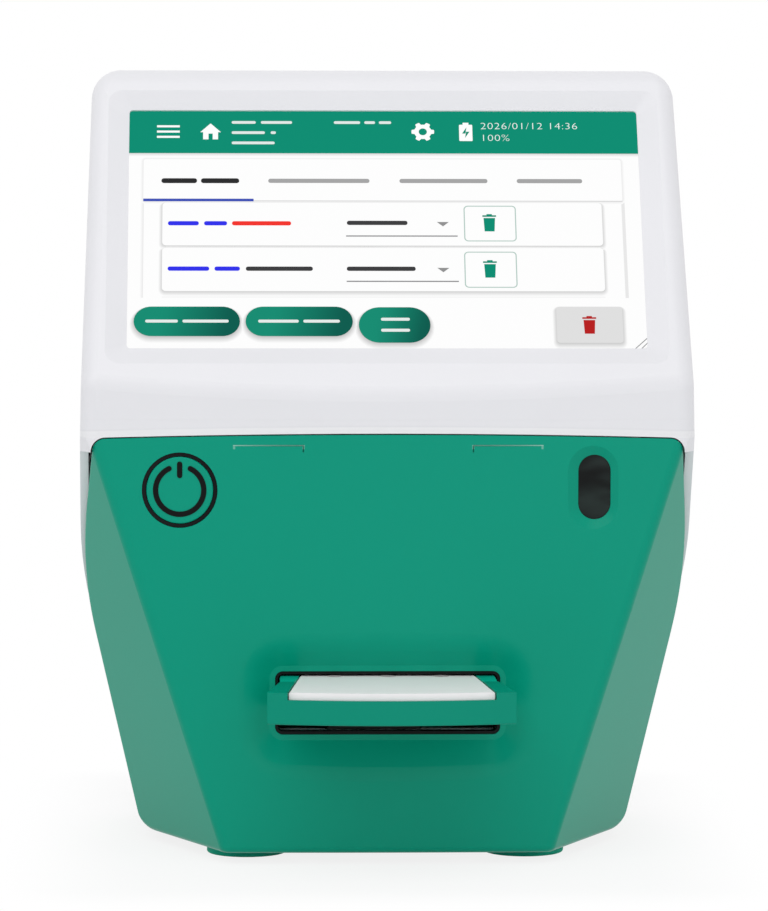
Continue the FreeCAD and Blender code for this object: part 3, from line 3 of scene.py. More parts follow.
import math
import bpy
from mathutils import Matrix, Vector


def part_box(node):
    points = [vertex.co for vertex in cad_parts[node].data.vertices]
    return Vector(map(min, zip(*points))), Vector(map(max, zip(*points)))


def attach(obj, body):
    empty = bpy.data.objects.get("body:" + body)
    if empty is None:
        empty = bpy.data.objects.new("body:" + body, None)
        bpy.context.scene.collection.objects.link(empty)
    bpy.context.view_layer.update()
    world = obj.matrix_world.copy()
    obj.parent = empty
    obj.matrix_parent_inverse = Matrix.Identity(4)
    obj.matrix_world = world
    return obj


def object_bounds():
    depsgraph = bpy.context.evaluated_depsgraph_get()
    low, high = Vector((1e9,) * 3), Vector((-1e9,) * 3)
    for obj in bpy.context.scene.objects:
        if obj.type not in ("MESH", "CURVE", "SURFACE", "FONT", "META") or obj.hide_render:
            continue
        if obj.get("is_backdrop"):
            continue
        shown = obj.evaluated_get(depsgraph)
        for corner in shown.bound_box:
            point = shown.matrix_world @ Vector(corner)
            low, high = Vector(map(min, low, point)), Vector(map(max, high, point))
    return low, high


bl_info = {
    "name": "Test reader finish",
    "version": (1, 0, 0),
    "blender": (4, 5, 0),
    "location": "3D View > Sidebar > Reader",
    "description": "Gives a desktop test reader its finishes, screen picture, power mark and stage",
    "category": "Object",
}

import bpy
from bpy.props import FloatProperty, FloatVectorProperty, PointerProperty
from mathutils import Vector

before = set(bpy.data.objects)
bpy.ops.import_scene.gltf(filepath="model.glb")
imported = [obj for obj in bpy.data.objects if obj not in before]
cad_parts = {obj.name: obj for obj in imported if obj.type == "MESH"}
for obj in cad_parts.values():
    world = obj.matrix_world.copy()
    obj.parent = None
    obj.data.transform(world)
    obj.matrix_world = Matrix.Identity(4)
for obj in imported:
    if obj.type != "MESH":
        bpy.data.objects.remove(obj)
CAD_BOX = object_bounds()
MM = 0.001
WHITE = (1.0, 1.0, 1.0)


def linear(red, green, blue):
    """A colour written in 0 to 255 display values, as the linear colour that shaders take."""
    def channel(value):
        value = value / 255
        return value / 12.92 if value <= 0.04045 else ((value + 0.055) / 1.055) ** 2.4
    return channel(red), channel(green), channel(blue)


def colour(name, red, green, blue, note):
    return FloatVectorProperty(name=name, description=note, subtype="COLOR", size=3, min=0, max=1,
                               default=linear(red, green, blue))


def share(name, default, note):
    return FloatProperty(name=name, description=note, default=default, min=0, max=1, subtype="FACTOR")


def length(name, default, note):
    return FloatProperty(name=name, description=note, default=default, unit="LENGTH", precision=5)


def power(name, default, note):
    return FloatProperty(name=name, description=note, default=default, unit="POWER")


# ---------------------------------------------------------------- what a user would change

class ShellLook(bpy.types.PropertyGroup):
    white: colour("White", 234, 234, 238, "Colour of the white mouldings")
    green: colour("Green", 0, 152, 125, "Colour of the green cover and the power button")
    # painted light: the drawer's green is made brighter and the handle's darker, as painted light on the
    # tray's top and painted shade on the handle's front
    drawer: colour("Drawer", 0, 180, 152, "Colour of the drawer")
    handle: colour("Handle", 0, 143, 118, "Colour of the drawer's handle")
    charcoal: colour("Charcoal", 18, 20, 21, "Colour of the dark mouldings")
    rubber: colour("Rubber", 0, 186, 152, "Colour of the feet")
    rear: colour("Rear", 228, 228, 231, "Colour of the rear cover")
    base: colour("Base", 74, 76, 78, "Colour of the base plate")
    satin: share("Satin", 0.36, "Roughness of the mouldings")
    polish: share("Polish", 0.3, "Roughness of the cover and the power button")
    shine: share("Shine", 0.12, "Specular level of the green mouldings")
    grain: length("Grain", 0.00035, "Width of one grain of the moulded texture")
    rim: length("Seam rim", 0.0021, "Width of the rounded rim over the seam")
    rim_height: length("Seam rim height", 0.0012, "How far that rim seems to stand out")
    seam: length("Seam height", 0.1296, "Lower edge of the white shell at the middle")
    seam_bow: length("Seam bow", 2.766, "Radius of that arched edge")
    groove: length("Groove height", 0.1260, "Middle of the two latch grooves")
    groove_inner: length("Groove inner end", 0.0252, "Where each latch groove begins")
    groove_outer: length("Groove outer end", 0.0462, "Where each latch groove ends")


class ScreenLook(bpy.types.PropertyGroup):
    bar: colour("Bar", 2, 141, 114, "Colour of the heading bar")
    paper: colour("Paper", 254, 254, 254, "Colour of the screen's ground")
    ink: colour("Ink", 60, 60, 62, "Colour of the dark marks")
    blue: colour("Blue", 48, 48, 236, "Colour of the row marks")
    tab: colour("Tab", 63, 81, 181, "Colour of the line under the open tab")
    red: colour("Red", 244, 52, 44, "Colour of the marks that ask for attention")
    brick: colour("Brick", 183, 28, 28, "Colour of the bin on the grey key")
    key_light: colour("Key light", 16, 140, 114, "Light side of the round-ended keys")
    key_dark: colour("Key dark", 2, 92, 78, "Dark side of the round-ended keys")
    grey: colour("Grey", 224, 224, 224, "Colour of the grey key")
    rule: colour("Rule", 140, 140, 142, "Colour of the thin lines")
    lift: length("Lift", 0.00003, "Step between the layers of the picture")


class MarkLook(bpy.types.PropertyGroup):
    ring: length("Ring", 0.0080, "Outer radius of the power mark")
    stroke: length("Stroke", 0.0016, "Width of the power mark's lines")
    gap: FloatProperty(name="Gap", description="Half of the opening at the top of the ring",
                       default=math.radians(26), subtype="ANGLE")
    bar_top: length("Bar top", 0.0086, "Upper end of the short bar above the middle")
    bar_foot: length("Bar foot", 0.0036, "Lower end of the short bar above the middle")
    thick: length("Thickness", 0.00012, "How far the mark stands over the cap")


class StageLook(bpy.types.PropertyGroup):
    room: share("Room light", 0.72, "Light that comes from all round")
    key: power("Key lamp", 4.2, "Power of the large lamp")
    fill: power("Fill lamp", 2.2, "Power of the low lamp in front")
    sky: power("Sky lamp", 3.6, "Power of the lamp overhead")
    floor: colour("Floor", 246, 246, 247, "Colour of the floor")
    glow: share("Floor glow", 0.84, "Share of plain white that the camera sees on the floor")
    shade_reach: length("Shade reach", 0.045, "How far from the reader its shade on the floor has died away")
    lens: FloatProperty(name="Lens", description="Focal length in millimetres", default=199.2)
    camera: length("Camera", 1.5, "How far the camera stands before the front")


# ---------------------------------------------------------------- shader helpers

COAT_ROUGHNESS = 0.05


class Wire:
    """A socket of a node tree that takes part in Python arithmetic."""

    def __init__(self, nodes, socket):
        self.nodes = nodes
        self.socket = socket

    def maths(self, operation, *others):
        return self.nodes.add("ShaderNodeMath", {"operation": operation}, dict(enumerate((self, *others))))

    def __add__(self, other):
        return self.maths("ADD", other)

    __radd__ = __add__

    def __sub__(self, other):
        return self.maths("SUBTRACT", other)

    def __rsub__(self, other):
        return self.nodes.add("ShaderNodeMath", {"operation": "SUBTRACT"}, {0: other, 1: self})

    def __mul__(self, other):
        return self.maths("MULTIPLY", other)

    __rmul__ = __mul__

    def __truediv__(self, other):
        return self.maths("DIVIDE", other)

    def __lt__(self, other):
        return self.maths("LESS_THAN", other)

    def __abs__(self):
        return self.maths("ABSOLUTE")

    def ramp(self, low, high):
        """0 at or under low, 1 at or over high, and a smooth rise between them."""
        inputs = {"Value": self, "From Min": low, "From Max": high}
        return self.nodes.add("ShaderNodeMapRange", {"interpolation_type": "SMOOTHSTEP"}, inputs)


class Nodes:
    """A node tree that grows as wires are worked with."""

    def __init__(self, tree):
        self.tree = tree

    def add(self, kind, settings, inputs, output=0):
        """Adds a node: its settings first, then the values or wires of its sockets."""
        node = self.tree.nodes.new(kind)
        for name, value in settings.items():
            setattr(node, name, value)
        for key, value in inputs.items():
            sockets = {socket.identifier: socket for socket in node.inputs}
            socket = node.inputs[key] if isinstance(key, int) or key not in sockets else sockets[key]
            if isinstance(value, Wire):
                self.tree.links.new(value.socket, socket)
            elif socket.type == "RGBA":
                socket.default_value = (*value, 1.0)
            else:
                socket.default_value = value
        outputs = {socket.identifier: socket for socket in node.outputs}
        socket = node.outputs[output] if isinstance(output, int) else outputs[output]
        return Wire(self, socket)

    def mix(self, factor, first, second):
        inputs = {"Factor_Float": factor, "A_Color": first, "B_Color": second}
        return self.add("ShaderNodeMix", {"data_type": "RGBA"}, inputs, "Result_Color")

    def shown(self):
        """1 where the camera, a reflection or a view through glass looks at the surface, and 0 as light."""
        camera = self.add("ShaderNodeLightPath", {}, {}, "Is Camera Ray")
        paths = camera.socket.node.outputs
        reflection, glass = (Wire(self, paths[name]) for name in ("Is Glossy Ray", "Is Transmission Ray"))
        return camera.maths("MAXIMUM", reflection).maths("MAXIMUM", glass)


class Finish(Nodes):
    """One procedural material, with the shader that its nodes feed."""

    def __init__(self, name, base, roughness, metallic=0.0, coat=0.0, shine=0.5):
        self.material = bpy.data.materials.new(name)
        self.material.use_nodes = True
        super().__init__(self.material.node_tree)
        self.shader = self.tree.nodes["Principled BSDF"]
        self.set("Base Color", (*base, 1.0))
        self.set("Roughness", roughness)
        self.set("Metallic", metallic)
        self.set("Specular IOR Level", shine)
        self.set("Coat Weight", coat)
        self.set("Coat Roughness", COAT_ROUGHNESS)
        self.places = None
        self.body = None

    def set(self, name, value):
        """Puts a plain value on the shader, or feeds it with a wire."""
        if isinstance(value, Wire):
            self.tree.links.new(value.socket, self.shader.inputs[name])
        else:
            self.shader.inputs[name].default_value = value

    def place(self):
        """The object's own coordinates, in metres."""
        if self.places is None:
            self.places = self.add("ShaderNodeTexCoord", {}, {}, "Object")
        return self.places

    def axes(self):
        """X, Y and Z of the place, one wire each."""
        east = self.add("ShaderNodeSeparateXYZ", {}, {"Vector": self.place()})
        return [Wire(self, socket) for socket in east.socket.node.outputs]

    def noise(self, width, detail=2.0, rough=0.5, stretch=None):
        """Soft noise from 0 to 1 whose lumps are width metres across."""
        place = self.place()
        if stretch:
            place = self.add("ShaderNodeVectorMath", {"operation": "MULTIPLY"}, {0: place, 1: stretch})
        inputs = {"Vector": place, "Scale": 1 / width, "Detail": detail, "Roughness": rough}
        return self.add("ShaderNodeTexNoise", {}, inputs)

    def bump(self, height, strength, distance):
        inputs = {"Height": height, "Strength": strength, "Distance": distance}
        self.set("Normal", self.add("ShaderNodeBump", {}, inputs))


def darker(shade, factor):
    return tuple(channel * factor for channel in shade)


def toward(shade, other, factor):
    return tuple(a + (b - a) * factor for a, b in zip(shade, other))


# ---------------------------------------------------------------- finishes

FLOW_WIDTH = 0.045  # lumps of the faint colour flow in a moulding
GLOSS_SWING = 0.06  # how far a moulding's roughness wanders
GRAIN_DEPTH = 0.00004  # height of a moulding's grain, in metres
MOTTLE = 0.03  # how much darker a moulding's deepest lumps are
FINE = 0.6  # roughness of the noise in fine grains and fibres


def satin(name, shade, look, roughness=None, shine=0.5):
    """A finish with the slightly uneven gloss of a moulding, and the fine noise that makes it uneven."""
    level = look.satin if roughness is None else roughness
    finish = Finish(name, shade, level, shine=shine)
    fine = finish.noise(look.grain, rough=FINE)
    finish.set("Roughness", level - GLOSS_SWING / 2 + fine * GLOSS_SWING)
    return finish, fine


def moulded(name, shade, look, grain=0.06, roughness=None, shine=0.5):
    """A satin moulding with a fine spark-eroded grain and faint flow mottling."""
    finish, fine = satin(name, shade, look, roughness, shine)
    flow = finish.noise(FLOW_WIDTH)
    finish.body = finish.mix(flow, darker(shade, 1 - MOTTLE), darker(shade, 1 + MOTTLE * 0.4))
    finish.set("Base Color", finish.body)
    finish.bump(fine, grain, GRAIN_DEPTH)
    return finish


def shell_white(look):
    """White moulding whose edge over the seam seems rolled: a bump, a painted highlight along the rim and a
    faint painted shade line over it.
    """
    finish, fine = satin("shell_white", look.white, look)
    rim, edge, zone = look.rim, 0.0002, 0.004
    east, _, up = finish.axes()
    over = up - look.seam + east * east / (2 * look.seam_bow)
    near = up < look.seam + zone
    # painted highlight: the rim band just over the seam is lighter in colour, as where light catches the
    # rounded edge
    rim_highlight = (1 - over.ramp(rim * 0.86, rim)) * over.ramp(-2 * edge, edge) * near
    # painted shade: a faint darker line along the top of that rim
    line = over.ramp(rim * 0.8, rim * 0.96) * (1 - over.ramp(rim * 1.04, rim * 1.3)) * near
    plain = finish.mix(finish.noise(FLOW_WIDTH), darker(look.white, 1 - MOTTLE), look.white)
    lit = finish.mix(rim_highlight * 0.35, plain, toward(look.white, WHITE, 0.85))
    finish.set("Base Color", finish.mix(line * 0.06, lit, darker(look.white, 0.55)))
    roll = over.ramp(-edge, rim) * 0.35 * near
    finish.bump(fine * 0.02 + roll, 0.5, look.rim_height)
    return finish


def cover_green(look):
    """Green moulding whose latch grooves carry a painted highlight: a pale line along each groove and fainter
    pale ticks below its ends.
    """
    finish = moulded("cover_green", look.green, look, roughness=look.polish, shine=look.shine)
    east, _, up = finish.axes()
    hair, soft, tick_half = 0.0001, 0.0003, 0.0005
    middle = (look.groove_inner + look.groove_outer) / 2
    half = (look.groove_outer - look.groove_inner) / 2
    across = abs(abs(east) - middle)
    inside = 1 - across.ramp(half, half + soft)
    line = inside * (1 - abs(up - look.groove).ramp(hair, 2 * hair))
    ends = inside * across.ramp(half - 2 * soft, half - soft)
    tick = ends * (1 - abs(up - look.groove + tick_half).ramp(tick_half, tick_half + 2 * hair))
    # painted highlight: the groove's line and ticks are mixed toward a pale green, as light on the groove's
    # edge
    pale = line.maths("MAXIMUM", tick * 0.5) * 0.75
    finish.set("Base Color", finish.mix(pale, finish.body, linear(176, 216, 204)))
    return finish


def rubber(name, shade):
    """Matte rubber with a dusty bloom and a fine pebble."""
    finish = Finish(name, shade, 0.62, shine=0.15)
    bloom = finish.noise(0.006, 3.0)
    finish.set("Base Color", finish.mix(bloom * 0.35, shade, toward(shade, WHITE, 0.04)))
    finish.bump(finish.noise(0.0005), 0.25, 0.0001)
    return finish


def metal(name, shade, along, roughness=0.32):
    """Rolled or plated metal with fine lines along the axis whose share in along is small."""
    finish = Finish(name, shade, roughness, metallic=1.0)
    lines = finish.noise(0.0006, 3.0, FINE, along)
    cloud = finish.noise(0.02)
    finish.set("Base Color", finish.mix(cloud * 0.4, shade, darker(shade, 0.8)))
    finish.set("Roughness", roughness - 0.06 + lines * 0.14)
    finish.bump(lines, 0.12, 0.00003)
    return finish


def circuit_board(name):
    """Green solder mask over copper runs, with bright pads."""
    finish = Finish(name, linear(16, 92, 52), 0.32)
    east, north, up = finish.axes()
    runs_close, rows_close, pads_close = 900, 760, 260.0  # the higher, the closer together
    wander = finish.noise(0.004, 1.0)
    runs = ((east + up * 0.37) * runs_close + wander * 6).maths("SINE").ramp(0.55, 0.75)
    rows = ((north - up * 0.21) * rows_close + wander * 5).maths("SINE").ramp(0.62, 0.8)
    copper = runs.maths("MAXIMUM", rows)
    mask = finish.mix(copper * 0.5, linear(14, 82, 46), linear(36, 128, 78))
    inputs = {"Vector": finish.place(), "Scale": pads_close}
    cells = finish.add("ShaderNodeTexVoronoi", {"feature": "F1"}, inputs)
    pad = 1 - cells.ramp(0.12, 0.18)
    finish.set("Base Color", finish.mix(pad, mask, linear(196, 190, 168)))
    finish.set("Metallic", pad * 0.8)
    finish.bump(copper * 0.4 + pad, 0.25, 0.00006)
    return finish


def strip_paper(name, lines):
    """Paper strips with the control line and the test line across each."""
    finish = Finish(name, linear(238, 234, 226), 0.85)
    half, blur = 0.00035, 0.00025
    _, north, _ = finish.axes()
    control, test = (1 - abs(north - middle).ramp(half, half + blur) for middle in lines)
    fibre = finish.noise(0.0006, 3.0, FINE, (1.0, 0.25, 1.0))
    paper = finish.mix(fibre, linear(240, 237, 230), linear(226, 221, 210))
    lined = finish.mix(control * 0.8, paper, linear(176, 44, 84))
    finish.set("Base Color", finish.mix(test * 0.35, lined, linear(190, 70, 104)))
    finish.bump(fibre, 0.3, 0.00006)
    return finish


def battery_wrap(name):
    """Shrunk film over two cells: glossy, with small creases."""
    finish = Finish(name, linear(36, 66, 128), 0.22)
    crease = finish.noise(0.006, 4.0, 0.7, (0.25, 1.0, 1.0))
    finish.set("Base Color", finish.mix(crease * 0.4, linear(34, 62, 124), linear(56, 92, 158)))
    finish.bump(crease, 0.2, 0.0002)
    return finish


def dark_glass(name):
    """Deep black window with a soft sheen and paler streaks painted into its colour as reflection."""
    finish = Finish(name, linear(10, 12, 12), 0.08, shine=0.12)
    haze = finish.noise(0.012)
    # painted reflection: paler streaks mixed into the glass's colour
    reflection_streaks = finish.noise(0.009, stretch=(0.4, 1.0, 1.0))
    deep = finish.mix(haze, linear(4, 6, 6), linear(16, 20, 20))
    finish.set("Base Color", finish.mix(reflection_streaks.ramp(0.45, 0.75), deep, linear(38, 48, 46)))
    finish.set("Roughness", 0.06 + haze * 0.05)
    return finish


def dress(node, finish):
    """Gives a node of the frame its finish."""
    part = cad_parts[node]
    if not part.material_slots:
        part.data.materials.append(finish.material)
    for slot in part.material_slots:
        slot.material = finish.material


# ---------------------------------------------------------------- flat shapes of the screen picture

SHADE_LAYER = "shade"


def rounded(left, right, low, high, radius, steps=6):
    """The outline of a box with round corners, anticlockwise."""
    radius = min(radius, (right - left) / 2, (high - low) / 2)
    centres = ((right - radius, high - radius), (left + radius, high - radius),
               (left + radius, low + radius), (right - radius, low + radius))
    points = []
    for quarter, (x, y) in enumerate(centres):
        for step in range(steps + 1):
            turn = math.radians(90 * (quarter + step / steps))
            points.append((x + radius * math.cos(turn), y + radius * math.sin(turn)))
    return points


class Glass:
    """The plane of the lit picture, read from the largest face of the touch glass that looks out."""

    def __init__(self, node):
        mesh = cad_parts[node].data
        lean = 0.3
        faces = [face for face in mesh.polygons if face.normal.y < -lean and face.normal.z > lean]
        front = max(faces, key=lambda face: face.area)
        self.normal = Vector((0, front.normal.y, front.normal.z)).normalized()
        self.rise = Vector((1, 0, 0)).cross(self.normal) * -1
        low, high = (Vector(corner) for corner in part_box(node))
        corners = [Vector(v.co) for v in mesh.vertices]
        reach = [corner.dot(self.rise) for corner in corners]
        level = max(corner.dot(self.normal) for corner in corners)
        self.centre = self.rise * ((min(reach) + max(reach)) / 2) + self.normal * level
        self.centre.x = (low.x + high.x) / 2

    def spot(self, x, up, lift):
        """A place in metres: millimetres across and up the picture from its middle, and a lift."""
        return self.centre + Vector((x * MM, 0, 0)) + self.rise * (up * MM) + self.normal * lift


def on_screen(name, mesh):
    """Makes a piece of the picture from its mesh."""
    piece = bpy.data.objects.new(name, mesh)
    bpy.context.scene.collection.objects.link(piece)
    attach(piece, "housing")


class Sheet:
    """Collects flat shapes with a shade at each corner and makes them one piece."""

    def __init__(self, name, glass, step):
        self.name, self.glass, self.step = name, glass, step
        self.points, self.faces, self.shades = [], [], []

    def shape(self, outline, layer, shade):
        """A filled outline; shade is one colour, or a function of x and y."""
        first = len(self.points)
        for x, up in outline:
            self.points.append(self.glass.spot(x, up, layer * self.step))
            self.shades.append(shade(x, up) if callable(shade) else shade)
        self.faces.append(tuple(range(first, first + len(outline))))

    def band(self, inner, outer, layer, inner_shade, outer_shade):
        """A ring between two outlines of as many points."""
        first, count = len(self.points), len(inner)
        for outline, shade in ((inner, inner_shade), (outer, outer_shade)):
            for x, up in outline:
                self.points.append(self.glass.spot(x, up, layer * self.step))
                self.shades.append(shade)
        for i in range(count):
            j = (i + 1) % count
            self.faces.append((first + i, first + j, first + count + j, first + count + i))

    def box(self, left, right, low, high, layer, shade, radius=0.0):
        if radius:
            self.shape(rounded(left, right, low, high, radius), layer, shade)
        else:
            self.shape([(left, low), (right, low), (right, high), (left, high)], layer, shade)

    def pill(self, left, right, low, high, layer, shade, columns=28):
        """A bar with half-round ends, cut in upright slices so that its shade can run along it."""
        half, middle, first = (high - low) / 2, (low + high) / 2, len(self.points)
        for column in range(columns + 1):
            # slices stand closer towards the round ends
            x = (left + right) / 2 - (right - left) / 2 * math.cos(math.pi * column / columns)
            inward = max(0.0, half - min(x - left, right - x))
            tall = math.sqrt(max(half * half - inward * inward, 1e-6))
            for up in (middle - tall, middle + tall):
                self.points.append(self.glass.spot(x, up, layer * self.step))
                self.shades.append(shade(x, up))
        for column in range(columns):
            low_left = first + column * 2
            self.faces.append((low_left, low_left + 2, low_left + 3, low_left + 1))

    def shadow(self, left, right, low, high, radius, layer, paper, depth, spread, drop):
        """A soft shadow that a raised card throws round and below itself."""
        under = 0.3
        near = rounded(left + under, right - under, low + under, high - under, max(radius - under, 0.1))
        low, high = low - drop, high - drop
        far = rounded(left - spread, right + spread, low - spread, high + spread, radius + spread)
        self.band(near, far, layer, darker(paper, 1 - depth), paper)

    def piece(self, finish):
        mesh = bpy.data.meshes.new(self.name)
        mesh.from_pydata(self.points, [], self.faces)
        shades = mesh.color_attributes.new(SHADE_LAYER, "FLOAT_COLOR", "POINT")
        for item, shade in zip(shades.data, self.shades):
            item.color = (*shade, 1.0)
        for face in mesh.polygons:
            if face.normal.dot(self.glass.normal) < 0:
                face.flip()
        mesh.materials.append(finish.material)
        on_screen(self.name, mesh)


def ink(name):
    """Black that gives off the picture's own light under a faint gloss."""
    finish = Finish(name, (0.0, 0.0, 0.0), 0.4, shine=0.03)
    finish.set("Emission Strength", 0.99)
    return finish


def shaded_ink():
    """Ink whose light is shaded corner by corner."""
    finish = ink("screen_ink")
    finish.set("Emission Color", finish.add("ShaderNodeVertexColor", {"layer_name": SHADE_LAYER}, {}))
    return finish


def words(sheet, spans, up, height, layer, shade):
    """A line of words as rounded bars, from left to right, one for each span."""
    for left, right in spans:
        sheet.box(left, right, up - height / 2, up + height / 2, layer, shade, height * 0.45)


def sheen(left, right, low, light, dark):
    """The shade of a key, from light at its left to dark at its right along a slight slant."""
    slant, steep, start = 0.25, 1.6, 0.35

    def shade(x, up):
        across = (x - left) / (right - left) + (low - up) / (right - left) * slant
        return toward(light, dark, min(1.0, max(0.0, steep * across - start)))
    return shade


def bin_mark(sheet, x, up, size, layer, shade):
    """A waste bin: lid, knob and tapered body."""
    sheet.box(x - size * 0.5, x + size * 0.5, up + size * 0.52, up + size * 0.66, layer, shade)
    sheet.box(x - size * 0.2, x + size * 0.2, up + size * 0.64, up + size * 0.76, layer, shade)
    sheet.shape([(x - size * 0.36, up - size * 0.74), (x + size * 0.36, up - size * 0.74),
                 (x + size * 0.42, up + size * 0.42), (x - size * 0.42, up + size * 0.42)], layer, shade)


def house_mark(sheet, x, up, size, layer, shade):
    sheet.shape([(x - size, up - size * 0.02), (x, up + size), (x + size, up - size * 0.02)], layer, shade)
    for side in (-1, 1):
        outer, inner = sorted((side * size * 0.72, side * size * 0.2))
        sheet.box(x + outer, x + inner, up - size * 0.85, up, layer, shade)
    sheet.box(x - size * 0.2, x + size * 0.2, up - size * 0.18, up + 0.02, layer, shade)


def gear_mark(sheet, x, up, radius, layer, shade):
    """A ring with six square teeth."""
    teeth, steps, on_tooth = 6, 8, (2, 3, 4, 5)
    root, hole = radius * 0.76, radius * 0.36
    inner, outer = [], []
    for step in range(teeth * steps):
        turn = math.tau * (step + 0.5) / (teeth * steps) + math.pi / teeth
        reach = radius if step % steps in on_tooth else root
        outer.append((x + reach * math.cos(turn), up + reach * math.sin(turn)))
        inner.append((x + hole * math.cos(turn), up + hole * math.sin(turn)))
    sheet.band(inner, outer, layer, shade, shade)


def battery_mark(sheet, left, right, low, high, layer, shade, bolt):
    sheet.box(left, right, low, high - 0.75, layer, shade, 0.3)
    middle, half = (left + right) / 2, (right - left) * 0.22
    sheet.box(middle - half, middle + half, high - 0.9, high, layer, shade)
    up = (low + high) / 2 - 0.3
    half_bolt = ((0.25, 2.0), (-1.15, -0.35), (-0.1, -0.35))
    for turn in (1, -1):
        sheet.shape([(middle + turn * x, up + turn * y) for x, y in half_bolt], layer + 1, bolt)


# ---------------------------------------------------------------- operators

class READER_OT_shell(bpy.types.Operator):
    """Finish the white shell, the green cover and the mouldings round them"""
    bl_idname = "reader.shell"
    bl_label = "Shell and cover"

    def execute(self, context):
        look = context.scene.reader_shell
        dress("upper_housing", shell_white(look))
        dress("front_cover", cover_green(look))
        dress("rear_cover", moulded("rear_white", look.rear, look, grain=0.35, roughness=0.55))
        dress("base_plate", moulded("base_grey", look.base, look, grain=0.4, roughness=0.6))
        dark = moulded("liner_black", look.charcoal, look, roughness=0.5, shine=look.shine)
        for node in ("slot_liner", "button_bezel"):
            dress(node, dark)
        dress("power_cap", moulded("button_green", look.green, look, roughness=look.polish, shine=look.shine))
        feet = rubber("foot_green", look.rubber)
        for end in ("front", "rear"):
            for side in ("left", "right"):
                dress(f"foot_{end}_{side}", feet)
        dress("scanner_window", dark_glass("window_black"))
        return {"FINISHED"}


# how far behind the cassette's front edge the two lines cross the test strips
CONTROL_LINE, TEST_LINE = 0.061, 0.055


class READER_OT_drawer(bpy.types.Operator):
    """Finish the drawer, its handle, the cassette and the test strips"""
    bl_idname = "reader.drawer"
    bl_label = "Drawer and cassette"

    def execute(self, context):
        look = context.scene.reader_shell
        # painted light: the tray gets a brighter green for light on its top, the handle a darker one for
        # shade on its front
        for node, name, shade in (("drawer_tray", "tray_green", look.drawer),
                                  ("drawer_handle", "handle_green", look.handle)):
            dress(node, moulded(name, shade, look, roughness=0.34, shine=look.shine))
        white = moulded("cassette_white", linear(252, 248, 250), look, grain=0.12, roughness=0.5)
        dress("cassette_base", white)
        dress("cassette_top", white)
        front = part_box("cassette_top")[0][1]
        dress("test_strips", strip_paper("strip_paper", (front + CONTROL_LINE, front + TEST_LINE)))
        return {"FINISHED"}


class READER_OT_inside(bpy.types.Operator):
    """Finish the metalwork, the boards and the other pieces inside"""
    bl_idname = "reader.inside"
    bl_label = "Inside"

    def execute(self, context):
        look = context.scene.reader_shell
        steel = metal("plated_steel", linear(196, 198, 201), along=(0.08, 1.0, 1.0))
        for node in ("chassis", "display_frame", "scanner_bracket", "battery_strap"):
            dress(node, steel)
        screws = metal("screw_steel", linear(178, 179, 181), along=(1.0, 1.0, 0.3), roughness=0.26)
        for node in ("base_screws", "rear_cover_screws", "board_screws"):
            dress(node, screws)
        nickel = metal("socket_nickel", linear(206, 205, 200), along=(1.0, 0.1, 1.0), roughness=0.2)
        for node in ("usb_port_left", "usb_port_right"):
            dress(node, nickel)
        sink = metal("heat_sink", linear(206, 208, 210), along=(1.0, 0.12, 1.0), roughness=0.36)
        dress("heat_sink", sink)
        module = metal("display_metal", linear(150, 152, 155), along=(0.1, 1.0, 1.0), roughness=0.4)
        dress("display_module", module)
        board = circuit_board("board_green")
        for node in ("main_board", "camera_board", "switch_board", "light_ring"):
            dress(node, board)
        acetal = moulded("rail_black", linear(36, 36, 38), look, roughness=0.4)
        for node in ("rail_left", "rail_right", "stop_block", "drawer_switch", "power_switch",
                     "switch_plunger"):
            dress(node, acetal)
        hood = moulded("hood_black", linear(20, 20, 21), look, grain=0.3, roughness=0.7)
        for node in ("optics_hood", "scanner_module"):
            dress(node, hood)
        dress("power_inlet", moulded("socket_black", linear(24, 24, 25), look, roughness=0.45))
        dress("camera_lens", dark_glass("lens_black"))
        dress("battery_pack", battery_wrap("battery_wrap"))
        return {"FINISHED"}


# the picture's layers, counted in steps of its lift
GROUND, FADE, BAR, HEAD_MARK, HEAD_DIGIT = 1, 2, 3, 5, 6
PAGE_EDGE, PAGE, TAB_SHADE, TAB_CARD, TAB_RULE = 2, 3, 4, 5, 6
ROW_SHADE, ROW_CARD, ROW_RULE, ROW_MARK = 6, 7, 8, 9
KEY_SHADE, KEY_FACE, KEY_WORD, GREY_FACE, GREY_MARK = 3, 5, 7, 4, 6

# the picture's layout, in millimetres across and up from its middle
HALF_WIDE, HALF_HIGH = 79.2, 44.2
BAR_FOOT, FADE_FOOT = 27.6, 26.4
PAGE_LEFT, PAGE_RIGHT, PAGE_LOW, PAGE_HIGH = -73.6, 72.4, -24.9, 10.2
EDGE_WIDE = 1
TAB_LEFT, TAB_RIGHT, TAB_LOW, TAB_HIGH, TAB_CORNER = -73.8, 72.8, 10.0, 25.4, 0.8
TAB_RULE_LOW, TAB_SHADE_LOW = 9.9, 10.1
OPEN_TAB = (TAB_LEFT, -40.1, 9.8, 10.8)
ROW_LEFT, ROW_RIGHT, ROW_CORNER = -67.9, 66.3, 1.2
ROWS, THIRD_ROW = ((-6.2, 9.4), (-22.6, -7.0)), -24.2
FIELD_LEFT, FIELD_RIGHT, FIELD_HALF, FIELD_FEET = -12.0, 22.0, 0.22, (-2.75, -19.1)
MENU_LEFT, MENU_RIGHT, MENU_HALF, MENU_LINES = -69.8, -62.8, 0.38, (37.5, 35.55, 33.6)
HOUSE, GEAR, BATTERY = (-53.3, 35.4, 3.2), (12.1, 35.6, 3.5), (23.3, 27.4, 32.2, 39.0)
ARROW, ARROWS = ((-1.85, 0.75), (0.0, -0.85), (1.85, 0.75)), ((17.6, 1.6), (17.4, -15.0))
